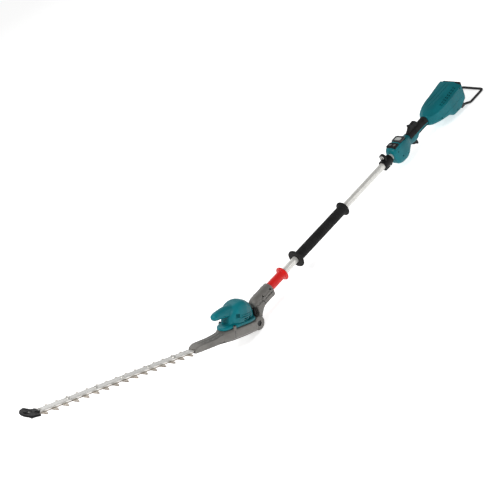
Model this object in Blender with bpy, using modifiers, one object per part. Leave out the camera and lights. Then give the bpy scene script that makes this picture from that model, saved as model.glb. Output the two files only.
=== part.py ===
"""Battery pole hedge trimmer, lying on its lower side with the head raised.

Tool frame: +X runs back along the pole from the head pivot, +Z is the top side, and the left side is -Y.
Head frame: +X runs forward along the blade from the pivot, +Z is the top side, and +Y is the left side.
"""

from math import cos, pi, radians, sin

import bmesh
import bpy
from mathutils import Matrix, Vector

MM = 0.001
GAP = 0.3 * MM

# Stance: the whole tool leans back by LIE_ANGLE, so the pivot barrel and the rear hook share the floor.
LIE_ANGLE = radians(0.59)
LENGTH_CENTRE = 249.5 * MM
FLOOR_DROP = 77.42 * MM

# Head pivot and its angle to the pole.
PIVOT_DROP = 53.4 * MM
HEAD_ANGLE = radians(25.25)
EAR_RADIUS = 24 * MM
EAR_OUTER = 23.5 * MM
TONGUE_HALF = 12 * MM
PIVOT_BORE = 6.2 * MM

# Pole and what is threaded on it.
PIPE_RADIUS = 12 * MM
PIPE_BORE = 10.4 * MM
PIPE_START = 50 * MM
PIPE_END = 872 * MM
COLLAR_RADIUS = 16 * MM
GRIP_START = 261 * MM
GRIP_END = 531 * MM

# Strap hanger on the pole.
HANGER_START = 774 * MM
HANGER_END = 819 * MM
HANGER_EYE = (790 * MM, 0, 26 * MM)
HANGER_SCREW = (800 * MM, 0, -17.4 * MM)
HANGER_LUG_RADIUS = 10 * MM

# Elbow clamp.
CLAMP_START = 48 * MM
CLAMP_END = 109 * MM
CLAMP_SCREW_X = (60 * MM, 98 * MM)
CLAMP_SCREW_Y = 19.5 * MM
CLAMP_LUG_TOP = 8 * MM

# Reciprocating blades.
TEETH = 16
PITCH = 37.5 * MM
FIRST_TOOTH = 304.5 * MM
TOOTH_REACH = 31 * MM
BLADE_HALF = 11 * MM
BLADE_THICK = 1.8 * MM
UPPER_BLADE_Z = -16.2 * MM
LOWER_BLADE_Z = -18.3 * MM
STROKE = 20 * MM
BLADE_END = 892 * MM

# Guide bar on top of the blades.
BAR_START = 224 * MM
BAR_END = 908 * MM
BAR_HALF = 10 * MM
BAR_BOTTOM = -15 * MM
BAR_TOP = -12 * MM
BOLT_COUNT = 6
BOLT_PITCH = 2.75 * PITCH
LAST_BOLT_X = 873 * MM
GUARD_SCREW_X = 905.5 * MM
BOLT_COLLAR = 4 * MM
BOLT_SHANK = 2.9 * MM
BAR_SCREW_X = (236 * MM, 266 * MM)
BAR_SCREW_SHANK = 2.5 * MM

# Drive inside the gear case.
MOTOR_X = 68 * MM
GEAR_MODULE = 1.25 * MM
PINION_TEETH = 8
CRANK_TEETH = 32
CRANK_X = MOTOR_X + GEAR_MODULE * (PINION_TEETH + CRANK_TEETH) / 2
CRANK_THROW = STROKE / 2
ROD_PIN_X = 187 * MM

# Rear end.
WALL = 2.5 * MM
TRIGGER_PIVOT = (942 * MM, -13 * MM)
LEVER_PIVOT = (1001 * MM, 12.5 * MM)
LEVER_FOOT = (5 * MM, 0, -24.5 * MM)

TEAL = (0.012, 0.155, 0.185)
BLACK = (0.022, 0.022, 0.023)
CAST_GREY = (0.235, 0.225, 0.21)
STEEL = (0.56, 0.55, 0.52)


# ---------------------------------------------------------------- scene set-up


def clear_scene():
    for thing in list(bpy.data.objects):
        bpy.data.objects.remove(thing, do_unlink=True)


def new_collection(name, hidden=False):
    made = bpy.data.collections.new(name)
    bpy.context.scene.collection.children.link(made)
    made.hide_render = hidden
    return made


def look(name, colour, roughness, metallic=0.0):
    made = bpy.data.materials.new(name)
    made.use_nodes = True
    shader = made.node_tree.nodes["Principled BSDF"]
    shader.inputs["Base Color"].default_value = (*colour, 1.0)
    shader.inputs["Roughness"].default_value = roughness
    shader.inputs["Metallic"].default_value = metallic
    made.diffuse_color = (*colour, 1.0)
    return made


def frame_empty(name, parent, matrix):
    """An empty that carries a group of parts at a pivot or a reference point."""
    made = bpy.data.objects.new(name, None)
    PARTS.objects.link(made)
    made.parent = parent
    made.matrix_local = matrix
    return made


def place(name, mesh, parent, at=(0, 0, 0), turn=(0, 0, 0), material=None):
    """A visible part at a position and rotation in its parent's frame."""
    made = bpy.data.objects.new(name, mesh)
    PARTS.objects.link(made)
    made.parent = parent
    made.location = at
    made.rotation_euler = turn
    if material:
        made.data.materials.append(material)
    return made


def place_about(name, mesh, parent, centre, material):
    """A part whose origin is moved to a point inside it, so that its coordinates stay small."""
    mesh.transform(Matrix.Translation(-Vector(centre)))
    return place(name, mesh, parent, centre, material=material)


def cutter(name, mesh, parent, at=(0, 0, 0), turn=(0, 0, 0)):
    """A hidden tool body for a Boolean."""
    made = bpy.data.objects.new(name, mesh)
    CUTTERS.objects.link(made)
    made.parent = parent
    made.location = at
    made.rotation_euler = turn
    made.hide_render = True
    made.display_type = "WIRE"
    return made


def mirrored_copy(name, source):
    """The same finished shape on the other side of the middle plane."""
    bpy.context.view_layer.update()
    mesh = bpy.data.meshes.new_from_object(source.evaluated_get(bpy.context.evaluated_depsgraph_get()))
    mesh.transform(Matrix.Scale(-1, 4, (0, 1, 0)))
    mesh.flip_normals()
    return place(name, mesh, source.parent, source.location)


def combine(target, tool, operation):
    change = target.modifiers.new(operation.lower(), "BOOLEAN")
    change.operation = operation
    change.solver = "EXACT"
    change.object = tool
    return change


def cut(target, *tools):
    for tool in tools:
        combine(target, tool, "DIFFERENCE")


def add(target, *tools):
    for tool in tools:
        combine(target, tool, "UNION")


def keep(target, tool):
    combine(target, tool, "INTERSECT")


def round_edges(target, width, segments=2, angle=40):
    change = target.modifiers.new("bevel", "BEVEL")
    change.width = width
    change.segments = segments
    change.limit_method = "ANGLE"
    change.angle_limit = radians(angle)
    change.use_clamp_overlap = True
    return change


# ---------------------------------------------------------------- mesh makers


def finish(bm, name, smooth=True):
    bmesh.ops.recalc_face_normals(bm, faces=bm.faces)
    mesh = bpy.data.meshes.new(name)
    bm.to_mesh(mesh)
    bm.free()
    if smooth:
        mesh.shade_smooth()
        mesh.set_sharp_from_angle(angle=radians(35))
    return mesh


def box_mesh(low, high):
    """A box between two corners."""
    bm = bmesh.new()
    bmesh.ops.create_cube(bm, size=1.0)
    size = Vector(high) - Vector(low)
    centre = (Vector(high) + Vector(low)) / 2
    bmesh.ops.scale(bm, vec=size, verts=bm.verts)
    bmesh.ops.translate(bm, vec=centre, verts=bm.verts)
    return finish(bm, "box", smooth=False)


def cylinder_mesh(radius, low, high, axis="Z", segments=24, end_radius=None):
    """A cylinder or cone from low to high along an axis through the origin."""
    bm = bmesh.new()
    bmesh.ops.create_cone(
        bm,
        cap_ends=True,
        segments=segments,
        radius1=radius,
        radius2=radius if end_radius is None else end_radius,
        depth=high - low,
    )
    bmesh.ops.translate(bm, vec=(0, 0, (low + high) / 2), verts=bm.verts)
    turns = {"Z": Matrix(), "X": Matrix.Rotation(pi / 2, 3, "Y"), "Y": Matrix.Rotation(-pi / 2, 3, "X")}
    bmesh.ops.rotate(bm, cent=(0, 0, 0), matrix=turns[axis].to_3x3(), verts=bm.verts)
    return finish(bm, "cylinder")


def prism_mesh(outline, low, high, plane="XY"):
    """A flat outline given depth: XY outlines rise along Z, XZ outlines run along Y."""
    bm = bmesh.new()
    if plane == "XY":
        verts = [bm.verts.new((x, y, low)) for x, y in outline]
        depth = (0, 0, high - low)
    else:
        verts = [bm.verts.new((x, low, z)) for x, z in outline]
        depth = (0, high - low, 0)
    face = bm.faces.new(verts)
    raised = bmesh.ops.extrude_face_region(bm, geom=[face])
    moved = [v for v in raised["geom"] if isinstance(v, bmesh.types.BMVert)]
    bmesh.ops.translate(bm, vec=depth, verts=moved)
    return finish(bm, "prism")


def loft_mesh(stations, points=28):
    """A body along X through rounded sections (x, centre y, bottom, top, half width, squareness)."""
    bm = bmesh.new()
    rings = []
    for x, centre, bottom, top, half, power in stations:
        middle = (bottom + top) / 2
        rise = (top - bottom) / 2
        ring = []
        for step in range(points):
            angle = 2 * pi * (step + 0.5) / points
            c, s = cos(angle), sin(angle)
            across = abs(c) ** (2 / power) * (1 if c > 0 else -1)
            up = abs(s) ** (2 / power) * (1 if s > 0 else -1)
            ring.append(bm.verts.new((x, centre + half * across, middle + rise * up)))
        rings.append(ring)
    for ring, after in zip(rings, rings[1:]):
        for step in range(points):
            following = (step + 1) % points
            bm.faces.new((ring[step], ring[following], after[following], after[step]))
    bm.faces.new(rings[0])
    bm.faces.new(rings[-1])
    return finish(bm, "loft")


def inset(stations, by, ends=None):
    """The same sections drawn in by a wall thickness, with the two ends moved by the given amounts."""
    drawn = [(x, y, low + by, high - by, half - by, power) for x, y, low, high, half, power in stations]
    if ends:
        first, last = drawn[0], drawn[-1]
        drawn[0] = (first[0] + ends[0], *first[1:])
        drawn[-1] = (last[0] + ends[1], *last[1:])
    return drawn


def turned(name, profile, parent, material, steps=24, at=(0, 0, 0), turn=(0, 0, 0), closed=True):
    """A part turned about its own Z axis from (radius, height) points that run down the outer side."""
    bm = bmesh.new()
    verts = [bm.verts.new((r, 0, z)) for r, z in profile]
    for first, second in zip(verts, verts[1:]):
        bm.edges.new((first, second))
    if closed:
        bm.edges.new((verts[-1], verts[0]))
    mesh = bpy.data.meshes.new(name)
    bm.to_mesh(mesh)
    bm.free()
    made = place(name, mesh, parent, at, turn, material)
    spin = made.modifiers.new("turn", "SCREW")
    spin.steps = spin.render_steps = steps
    spin.use_merge_vertices = True
    spin.merge_threshold = 0.00005
    spin.use_smooth_shade = True
    return made


def gear_outline(teeth, module):
    """A spur gear's outline with straight-flanked teeth."""
    pitch_radius = teeth * module / 2
    tip = pitch_radius + 0.85 * module
    root = pitch_radius - 1.15 * module
    step = 2 * pi / teeth
    outline = []
    for tooth in range(teeth):
        for share, radius in ((-0.33, root), (-0.13, tip), (0.13, tip), (0.33, root)):
            angle = (tooth + share) * step
            outline.append((radius * cos(angle), radius * sin(angle)))
    return outline


def rounded_outline(half_x, half_y, radius, corner_steps=4):
    """A rectangle's outline with round corners, centred on the origin."""
    outline = []
    for sign_x, sign_y, start in ((1, 1, 0), (-1, 1, pi / 2), (-1, -1, pi), (1, -1, 1.5 * pi)):
        for step in range(corner_steps + 1):
            angle = start + step * pi / 2 / corner_steps
            x = sign_x * (half_x - radius) + radius * cos(angle)
            y = sign_y * (half_y - radius) + radius * sin(angle)
            outline.append((x, y))
    return outline


def shifted(outline, dx, dy=0.0):
    return [(x + dx, y + dy) for x, y in outline]


def millimetres(stations):
    return [(x * MM, y * MM, low * MM, high * MM, half * MM, power) for x, y, low, high, half,
            power in stations]


def metres(points):
    return [(x * MM, y * MM) for x, y in points]


# ---------------------------------------------------------------- gear case


def case_stations():
    return millimetres([
        (9, 0, -17, 12, 23, 4),
        (20, 0, -21, 17.5, 31, 5),
        (60, 0, -22, 18, 36, 6),
        (118, 0, -22, 18, 36, 6),
        (136, 0, -21, 17, 32, 5),
        (156, 0, -19.5, 13.5, 25, 5),
        (172, 0, -18.5, 9.5, 20.5, 5),
        (186, 0, -21.8, 5, 19.5, 5),
        (206, 0, -21.8, 2.6, 19.5, 6),
        (260, 0, -21.8, 1.6, 19.5, 6),
        (272, 0, -21, -2, 18.5, 6),
        (279.5, 0, -20.4, -6, 16.5, 6),
    ])


def motor_bore_cutter():
    """The round recess that the motor's lower end stands in."""
    return cutter("cut_motor_recess", cylinder_mesh(26 * MM, 1 * MM, 30 * MM), HEAD, (MOTOR_X, 0, 0))


def make_gear_case():
    """The upper casting: drive cavity, pivot ears and the long neck over the blades."""
    case = place("gear_case", loft_mesh(case_stations(), 24), HEAD, material=GREY)
    rim = 3 * MM
    steps = ((-EAR_OUTER, rim), (rim / 3 - EAR_OUTER, rim / 3), (rim - EAR_OUTER, 0),
             (EAR_OUTER - rim, 0), (EAR_OUTER - rim / 3, rim / 3), (EAR_OUTER, rim))
    drum = [(x, 0, drop - EAR_RADIUS, EAR_RADIUS - drop, EAR_RADIUS - drop, 2) for x, drop in steps]
    barrel = cutter("ear_barrel", loft_mesh(drum, 32), HEAD, turn=(0, 0, pi / 2))
    web = cutter("ear_web", box_mesh((0, rim - EAR_OUTER, -17 * MM), (22 * MM, EAR_OUTER - rim, 13 * MM)),
                 HEAD)
    add(case, web, barrel)
    add(case, *boss_cutters("boss", 5.1 * MM, 12 * MM, 27 * MM))
    slot_half = TONGUE_HALF + GAP
    reach = EAR_RADIUS + 2 * MM
    slot = cutter("cut_tongue", cylinder_mesh(reach, -slot_half, slot_half, "Y", 32), HEAD)
    bore = cutter("cut_pivot", cylinder_mesh(PIVOT_BORE, -40 * MM, 40 * MM, "Y"), HEAD)
    near_hex = cutter("cut_hex_near", cylinder_mesh(10.4 * MM, 16 * MM, 40 * MM, "Y", 6), HEAD)
    far_hex = cutter("cut_hex_far", cylinder_mesh(10.4 * MM, -40 * MM, -16 * MM, "Y", 6), HEAD)
    gear_room = cutter("cut_gear_room", cylinder_mesh(22.5 * MM, -30 * MM, -1.5 * MM, segments=28), HEAD,
                       (CRANK_X, 0, 0))
    shaft_room = cutter("cut_shaft_room", cylinder_mesh(8.1 * MM, -9 * MM, 7.5 * MM), HEAD,
                        (CRANK_X, 0, 0))
    pinion_room = cutter("cut_pinion_room", cylinder_mesh(8.3 * MM, -30 * MM, 5 * MM), HEAD,
                         (MOTOR_X, 0, 0))
    channel = cutter("cut_channel", box_mesh((CRANK_X, -13 * MM, -30 * MM),
                                             (300 * MM, 13 * MM, -11.7 * MM)), HEAD)
    rod_room = cutter("cut_rod_room", box_mesh((CRANK_X - 16 * MM, -19 * MM, -30 * MM),
                                               (CRANK_X + 44 * MM, 19 * MM, -11.7 * MM)), HEAD)
    floor = cutter("cut_cover_seat", box_mesh((15 * MM, -50 * MM, -40 * MM),
                                              (300 * MM, 50 * MM, -20.2 * MM)), HEAD)
    cut(case, slot, bore, near_hex, far_hex, motor_bore_cutter(), gear_room, shaft_room, pinion_room,
        rod_room,
        channel, floor, *case_chamfers())
    cut(case, *screw_cutters())
    cut(case, *bar_screw_cutters())
    return case


def case_chamfers():
    """Slanting cuts along the lower edges of the wide part."""
    tools = []
    for side in (1, -1):
        wedge = box_mesh((26 * MM, -40 * MM, -40 * MM), (152 * MM, 40 * MM, 0))
        tools.append(cutter(f"cut_case_chamfer_{side}", wedge, HEAD, (0, side * 36.5 * MM, -11 * MM),
                            (side * radians(38), 0, 0)))
    return tools


def screw_places():
    """The two housing screws, one on each side of the front pad."""
    return [(122 * MM, 33.5 * MM), (122 * MM, -33.5 * MM)]


def boss_cutters(label, radius, low, high):
    return [cutter(f"{label}_{number}", cylinder_mesh(radius, low, high, segments=12), HEAD, (x, y, 0))
            for number, (x, y) in enumerate(screw_places(), 1)]


def screw_cutters():
    return [cutter(f"cut_case_screw_{number}", cylinder_mesh(2.3 * MM, -15 * MM, 40 * MM, segments=12),
                   HEAD, (x, y, 0))
            for number, (x, y) in enumerate(screw_places(), 1)]


def bar_screw_cutters():
    return [cutter(f"cut_bar_screw_{number}", cylinder_mesh(2.8 * MM, -30 * MM, -3 * MM, segments=12),
                   HEAD, (x, 0, 0))
            for number, x in enumerate(BAR_SCREW_X, 1)]


def make_case_cover():
    """The bottom plate under the drive, running forward under the neck."""
    side = [(20, 15), (32, 22), (60, 24.5), (126, 24.5), (148, 19.5), (172, 14.6), (206, 14.2),
            (275, 14.2)]
    outline = [(x, -y) for x, y in side] + list(reversed(side))
    cover = place("case_cover", prism_mesh(metres(outline), -23 * MM, -20.5 * MM), HEAD, material=GREY)
    round_edges(cover, 1.2 * MM)
    relief = cutter("cut_bolt_relief", box_mesh((ROD_PIN_X - 18 * MM, -6 * MM, -21.8 * MM),
                                               (ROD_PIN_X + 18 * MM, 6 * MM, -10 * MM)), HEAD)
    cut(cover, relief, *bar_screw_cutters_through())
    return cover


def bar_screw_cutters_through():
    return [cutter(f"cut_cover_screw_{number}", cylinder_mesh(2.9 * MM, -40 * MM, 0, segments=12), HEAD,
                   (x, 0, 0))
            for number, x in enumerate(BAR_SCREW_X, 1)]


def make_bar_screws():
    """Two screws from below that clamp the cover and the guide bar into the neck."""
    profile = metres([(0, -3.4), (2.5, -3.4), (2.5, -23.3), (5, -23.3), (5, -26), (0, -26)])
    for number, x in enumerate(BAR_SCREW_X, 1):
        turned(f"bar_screw_{number}", profile, HEAD, DARK_STEEL, 16, (x, 0, 0), closed=False)


def make_case_screws():
    """The screws in the two bosses beside the motor housing."""
    profile = metres([(0, 29.8), (4, 29.8), (4, 27.3), (2, 27.3), (2, -12), (0, -12)])
    for number, (x, y) in enumerate(screw_places(), 1):
        turned(f"case_screw_{number}", profile, HEAD, DARK_STEEL, 14, (x, y, 0), closed=False)


# ---------------------------------------------------------------- motor and drive


def housing_stations():
    """Sections of the motor housing's dome, from its rear to its front."""
    return millimetres([
        (14, 0, 19, 33, 10, 2.4),
        (18, 0, 19, 47, 14, 2.4),
        (26, 0, 19, 64, 19.5, 2.5),
        (40, 0, 19, 83.5, 28, 2.7),
        (55, 0, 19, 93.5, 34, 2.8),
        (70, 0, 19, 96.5, 37.5, 3),
        (84, 0, 19, 95.5, 37.5, 3),
        (100, 0, 19, 90.5, 36, 3),
        (114, 0, 19, 83, 31, 3),
        (124, 0, 19, 72, 25, 2.8),
        (130, 0, 19, 58, 19, 2.6),
    ])


def nose_stations():
    """Sections of the forward nose that a hand pulls to set the head's angle."""
    return millimetres([
        (100, 0, 48, 88, 24, 2.3),
        (118, 0, 50.5, 88.5, 22, 2.2),
        (136, 0, 53, 87, 19.5, 2.1),
        (154, 0, 53.5, 83.5, 17.5, 2.1),
        (170, 0, 53, 80, 15.5, 2.1),
        (180, 0, 54.5, 76, 12.5, 2.1),
        (185, 0, 58, 72, 8, 2.1),
        (186.5, 0, 62, 68, 4, 2.1),
    ])


def foot_stations():
    """Sections of the housing's foot, the pad that lies on the gear case."""
    return millimetres([
        (17, 0, 18.4, 30, 18, 4),
        (22, 0, 18.4, 31, 26, 4),
        (34, 0, 18.4, 31, 32, 4),
        (60, 0, 18.4, 31, 36, 5),
        (110, 0, 18.4, 31, 36, 5),
        (119, 0, 18.4, 30, 32, 4),
        (134, 0, 17, 28.5, 28, 4),
        (146, 0, 15, 26.5, 23, 3.5),
        (153, 0, 14.5, 24.5, 17.5, 3),
        (157, 0, 16, 22, 10, 2.6),
    ])


def make_motor_housing():
    housing = place("motor_housing", loft_mesh(housing_stations(), 28), HEAD, material=TEAL_SHELL)
    nose = cutter("housing_nose", loft_mesh(nose_stations(), 18), HEAD)
    foot = cutter("housing_foot", loft_mesh(foot_stations(), 22), HEAD)
    tab = cutter("housing_tab", box_mesh((12.6 * MM, -9.3 * MM, 21.4 * MM),
                                         (24 * MM, 9.3 * MM, 29.6 * MM)), HEAD)
    add(housing, foot, nose, tab)
    room = cutter("cut_motor_room", cylinder_mesh(28 * MM, 10 * MM, 75 * MM, segments=28), HEAD,
                  (MOTOR_X, 0, 0))
    under = cutter("cut_under_foot", loft_mesh(inset(case_stations(), -GAP), 24), HEAD)
    cut(housing, room, under)
    pockets = [cutter(f"cut_pocket_{number}", cylinder_mesh(5.6 * MM, 0, 60 * MM, segments=12), HEAD,
                      (x, y, 0))
               for number, (x, y) in enumerate(screw_places(), 1)]
    cut(housing, *pockets, *vent_cutters())
    return housing


def vent_cutters():
    """Cooling slots: two rows low on each side and a pair in the front corners."""
    tools = []
    for side in (1, -1):
        for row, z in enumerate((34 * MM, 39.5 * MM)):
            for column, x in enumerate((50 * MM, 65 * MM, 80 * MM)):
                tools.append(cutter(f"cut_vent_{side}_{row}_{column}",
                                    box_mesh((-5.5 * MM, -12 * MM, -1.5 * MM),
                                             (5.5 * MM, 12 * MM, 1.5 * MM)),
                                    HEAD, (x, side * 35 * MM, z)))
        tools.append(cutter(f"cut_corner_vent_{side}",
                            box_mesh((-4 * MM, -14 * MM, -6 * MM), (4 * MM, 14 * MM, 6 * MM)),
                            HEAD, (104 * MM, side * 33 * MM, 56 * MM), (0, 0, -side * radians(35))))
    return tools


def make_motor():
    """Stator ring, rotor with its shaft, cooling fan, lower ball bearing and the pinion."""
    at = (MOTOR_X, 0, 0)
    turned("stator", metres([(27, 66), (27, 34), (14, 34), (14, 66)]), HEAD, COPPER, 32, at)
    rotor = metres([(0, 72), (2.5, 72), (2.5, 62), (13.2, 62), (13.2, 36), (3, 36), (3, -1), (0, -1)])
    turned("rotor", rotor, HEAD, DARK_STEEL, 28, at, closed=False)
    turned("low_bearing", metres([(7.9, 12), (7.9, 6), (3.3, 6), (3.3, 12)]), HEAD, BRIGHT, 20, at)
    fan = place("fan", cylinder_mesh(24 * MM, 24 * MM, 26 * MM, segments=32), HEAD, at,
                material=BLACK_PLASTIC)
    for number in range(9):
        blade = cutter(f"fan_blade_{number}", box_mesh((8 * MM, -0.8 * MM, 25 * MM),
                                                       (23 * MM, 0.8 * MM, 31 * MM)),
                       HEAD, at, (0, 0, number * 2 * pi / 9))
        add(fan, blade)
    add(fan, cutter("fan_hub", cylinder_mesh(7 * MM, 24 * MM, 33 * MM), HEAD, at))
    cut(fan, cutter("cut_fan_hub", cylinder_mesh(3.3 * MM, 0, 60 * MM), HEAD, at))
    pinion = place("pinion", prism_mesh(gear_outline(PINION_TEETH, GEAR_MODULE), -11 * MM, -3 * MM), HEAD,
                   at,
                   (0, 0, pi / PINION_TEETH), material=DARK_STEEL)
    return pinion


def make_crank():
    """The crank gear: a spur wheel on a short shaft, with two throws 180 degrees apart on its underside."""
    at = (CRANK_X, 0, 0)
    crank = place("crank_gear", prism_mesh(gear_outline(CRANK_TEETH, GEAR_MODULE), -11 * MM, -4 * MM),
                  HEAD, at,
                  material=DARK_STEEL)
    add(crank, cutter("crank_shaft", cylinder_mesh(4 * MM, -8 * MM, 6.5 * MM, segments=20), HEAD, at))
    for side in (1, -1):
        add(crank, cutter(f"crank_throw_{side}", cylinder_mesh(4 * MM, -14.6 * MM, -8 * MM, segments=16),
                          HEAD,
                          (CRANK_X, side * CRANK_THROW, 0)))


def make_rod(name, side, blade_z):
    """A flat connecting rod from a crank throw's eye to the blade's rear pin."""
    low = blade_z - BLADE_THICK / 2
    high = blade_z + BLADE_THICK / 2
    eye_y = side * CRANK_THROW
    swing = Vector((ROD_PIN_X - CRANK_X, -eye_y))
    rod = place(name, cylinder_mesh(7 * MM, low, high), HEAD, (CRANK_X, eye_y, 0), material=DARK_STEEL)
    bar = cutter(f"{name}_bar", box_mesh((0, -3.5 * MM, low), (swing.length - 4 * MM, 3.5 * MM, high)),
                 HEAD,
                 (CRANK_X, eye_y, 0), (0, 0, swing.to_2d().angle_signed(Vector((1, 0)))))
    add(rod, bar)
    return rod


def make_rods():
    """Both rods reach under the wheel from its two sides and butt against the blades' rear ends."""
    stop = cutter("cut_rod_ends", box_mesh((ROD_PIN_X - 8 * MM, -30 * MM, -30 * MM),
                                           (400 * MM, 30 * MM, 0)), HEAD)
    for name, side, blade_z in (("upper_conrod", 1, UPPER_BLADE_Z), ("lower_conrod", -1, LOWER_BLADE_Z)):
        rod = make_rod(name, side, blade_z)
        cut(rod, stop)


# ---------------------------------------------------------------- blades


def blade_outline():
    """One blade seen from above: a spine with a tapered tooth at every pitch on both sides."""
    rear = ROD_PIN_X - 7 * MM
    side = [(rear, 5 * MM), (rear + 14 * MM, BLADE_HALF - 1 * MM)]
    for tooth in range(TEETH):
        x = FIRST_TOOTH + tooth * PITCH
        side += [(x - 9.5 * MM, BLADE_HALF - 1 * MM), (x - 2.4 * MM, TOOTH_REACH),
                 (x + 2.4 * MM, TOOTH_REACH), (x + 9.5 * MM, BLADE_HALF - 1 * MM)]
    side.append((BLADE_END, 7.5 * MM))
    return side + [(x, -y) for x, y in reversed(side)]


def bolt_places():
    return [LAST_BOLT_X - number * BOLT_PITCH for number in range(BOLT_COUNT)]


def make_blade(name, middle):
    low = middle - BLADE_THICK / 2
    high = middle + BLADE_THICK / 2
    blade = place(name, prism_mesh(blade_outline(), low, high), HEAD, material=BLADE_STEEL)
    slot = rounded_outline(BOLT_COLLAR + STROKE / 2 + 0.6 * MM, BOLT_COLLAR + 0.2 * MM, 3.5 * MM, 2)
    for number, x in enumerate(bolt_places()):
        cut(blade, cutter(f"cut_{name}_slot_{number}", prism_mesh(slot, low - 2 * MM, high + 2 * MM),
                          HEAD, (x, 0, 0)))
    narrow = rounded_outline(BAR_SCREW_SHANK + STROKE / 2 + 0.6 * MM, BAR_SCREW_SHANK + 0.3 * MM,
                             2.4 * MM, 2)
    for number, x in enumerate(BAR_SCREW_X):
        cut(blade, cutter(f"cut_{name}_screw_{number}", prism_mesh(narrow, low - 2 * MM, high + 2 * MM),
                          HEAD, (x, 0, 0)))
    return blade


def make_guide_bar():
    outline = rounded_outline((BAR_END - BAR_START) / 2, BAR_HALF, 4 * MM, 3)
    bar = place("guide_bar", prism_mesh(shifted(outline, (BAR_START + BAR_END) / 2), BAR_BOTTOM, BAR_TOP),
                HEAD,
                material=BRIGHT)
    for number, x in enumerate(bolt_places()):
        cut(bar, cutter(f"cut_bar_hole_{number}",
                        cylinder_mesh(BOLT_SHANK + 0.3 * MM, -20 * MM, 0, segments=12), HEAD,
                        (x, 0, 0)))
    cut(bar, *bar_screw_cutters(), cutter("cut_bar_end",
                                          cylinder_mesh(2.3 * MM, -30 * MM, 0, segments=12), HEAD,
                                         (GUARD_SCREW_X, 0, 0)))
    return bar


def make_blade_bolts():
    """Shouldered bolts that carry the blades under the bar, with a hexagonal head on top."""
    profile = metres([(0, -9), (2.9, -9), (2.9, -15.25), (4, -15.25), (4, -19.5), (7, -19.5), (7, -21.5),
                      (0, -21.5)])
    for number, x in enumerate(bolt_places(), 1):
        bolt = turned(f"blade_bolt_{number}", profile, HEAD, BRIGHT, 16, (x, 0, 0), closed=False)
        add(bolt, cutter(f"bolt_head_{number}",
                         cylinder_mesh(5.8 * MM, -11.7 * MM, -7.6 * MM, segments=6), HEAD,
                         (x, 0, 0)))


def make_tip_guard():
    """The plastic guard over the blade's tip: a swept plate with a hole, and a saddle over the bar's end."""
    side = [(889, 11), (896, 21), (903, 32), (908, 39), (912, 42), (916, 40.5), (923, 31), (929, 19),
            (932, 7)]
    outline = metres(side + [(x, -y) for x, y in reversed(side)])
    guard = place("tip_guard", prism_mesh(outline, -11.4 * MM, -5 * MM), HEAD, material=BLACK_PLASTIC)
    saddle = cutter("guard_saddle", box_mesh((888 * MM, -14 * MM, -22.5 * MM),
                                             (911 * MM, 14 * MM, -4.4 * MM)), HEAD)
    bridge = cutter("guard_bridge", box_mesh((881 * MM, -13 * MM, -14.6 * MM),
                                             (900 * MM, 13 * MM, -5.6 * MM)), HEAD)
    round_edges(guard, 1.8 * MM, 2)
    add(guard, saddle, bridge)
    room = box_mesh((850 * MM, -BAR_HALF - GAP, BAR_BOTTOM - GAP),
                    (BAR_END + GAP, BAR_HALF + GAP, BAR_TOP + GAP))
    bar_room = cutter("cut_bar_room", room, HEAD)
    end_room = box_mesh((850 * MM, -11.6 * MM, -20.2 * MM), (903 * MM, 11.6 * MM, -14 * MM))
    blade_room = cutter("cut_blade_room", end_room, HEAD)
    hole = cutter("cut_hang_hole", prism_mesh(rounded_outline(4.8 * MM, 11 * MM, 4.7 * MM), -30 * MM, 0),
                  HEAD,
                  (919.5 * MM, 0, 0))
    screw_hole = cutter("cut_guard_screw", cylinder_mesh(2.3 * MM, -30 * MM, 0, segments=12), HEAD,
                        (GUARD_SCREW_X, 0, 0))
    screw_seat = cutter("cut_guard_seat", cylinder_mesh(6.2 * MM, -8.5 * MM, 0, segments=20), HEAD,
                        (GUARD_SCREW_X, 0, 0))
    cut(guard, bar_room, blade_room, hole, screw_hole, screw_seat)
    profile = metres([(0, -5.6), (5, -5.6), (5.6, -8.2), (2, -8.2), (2, -22), (0, -22)])
    turned("guard_screw", profile, HEAD, BRIGHT, 16, (GUARD_SCREW_X, 0, 0), closed=False)
    return guard


# ---------------------------------------------------------------- elbow


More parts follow.
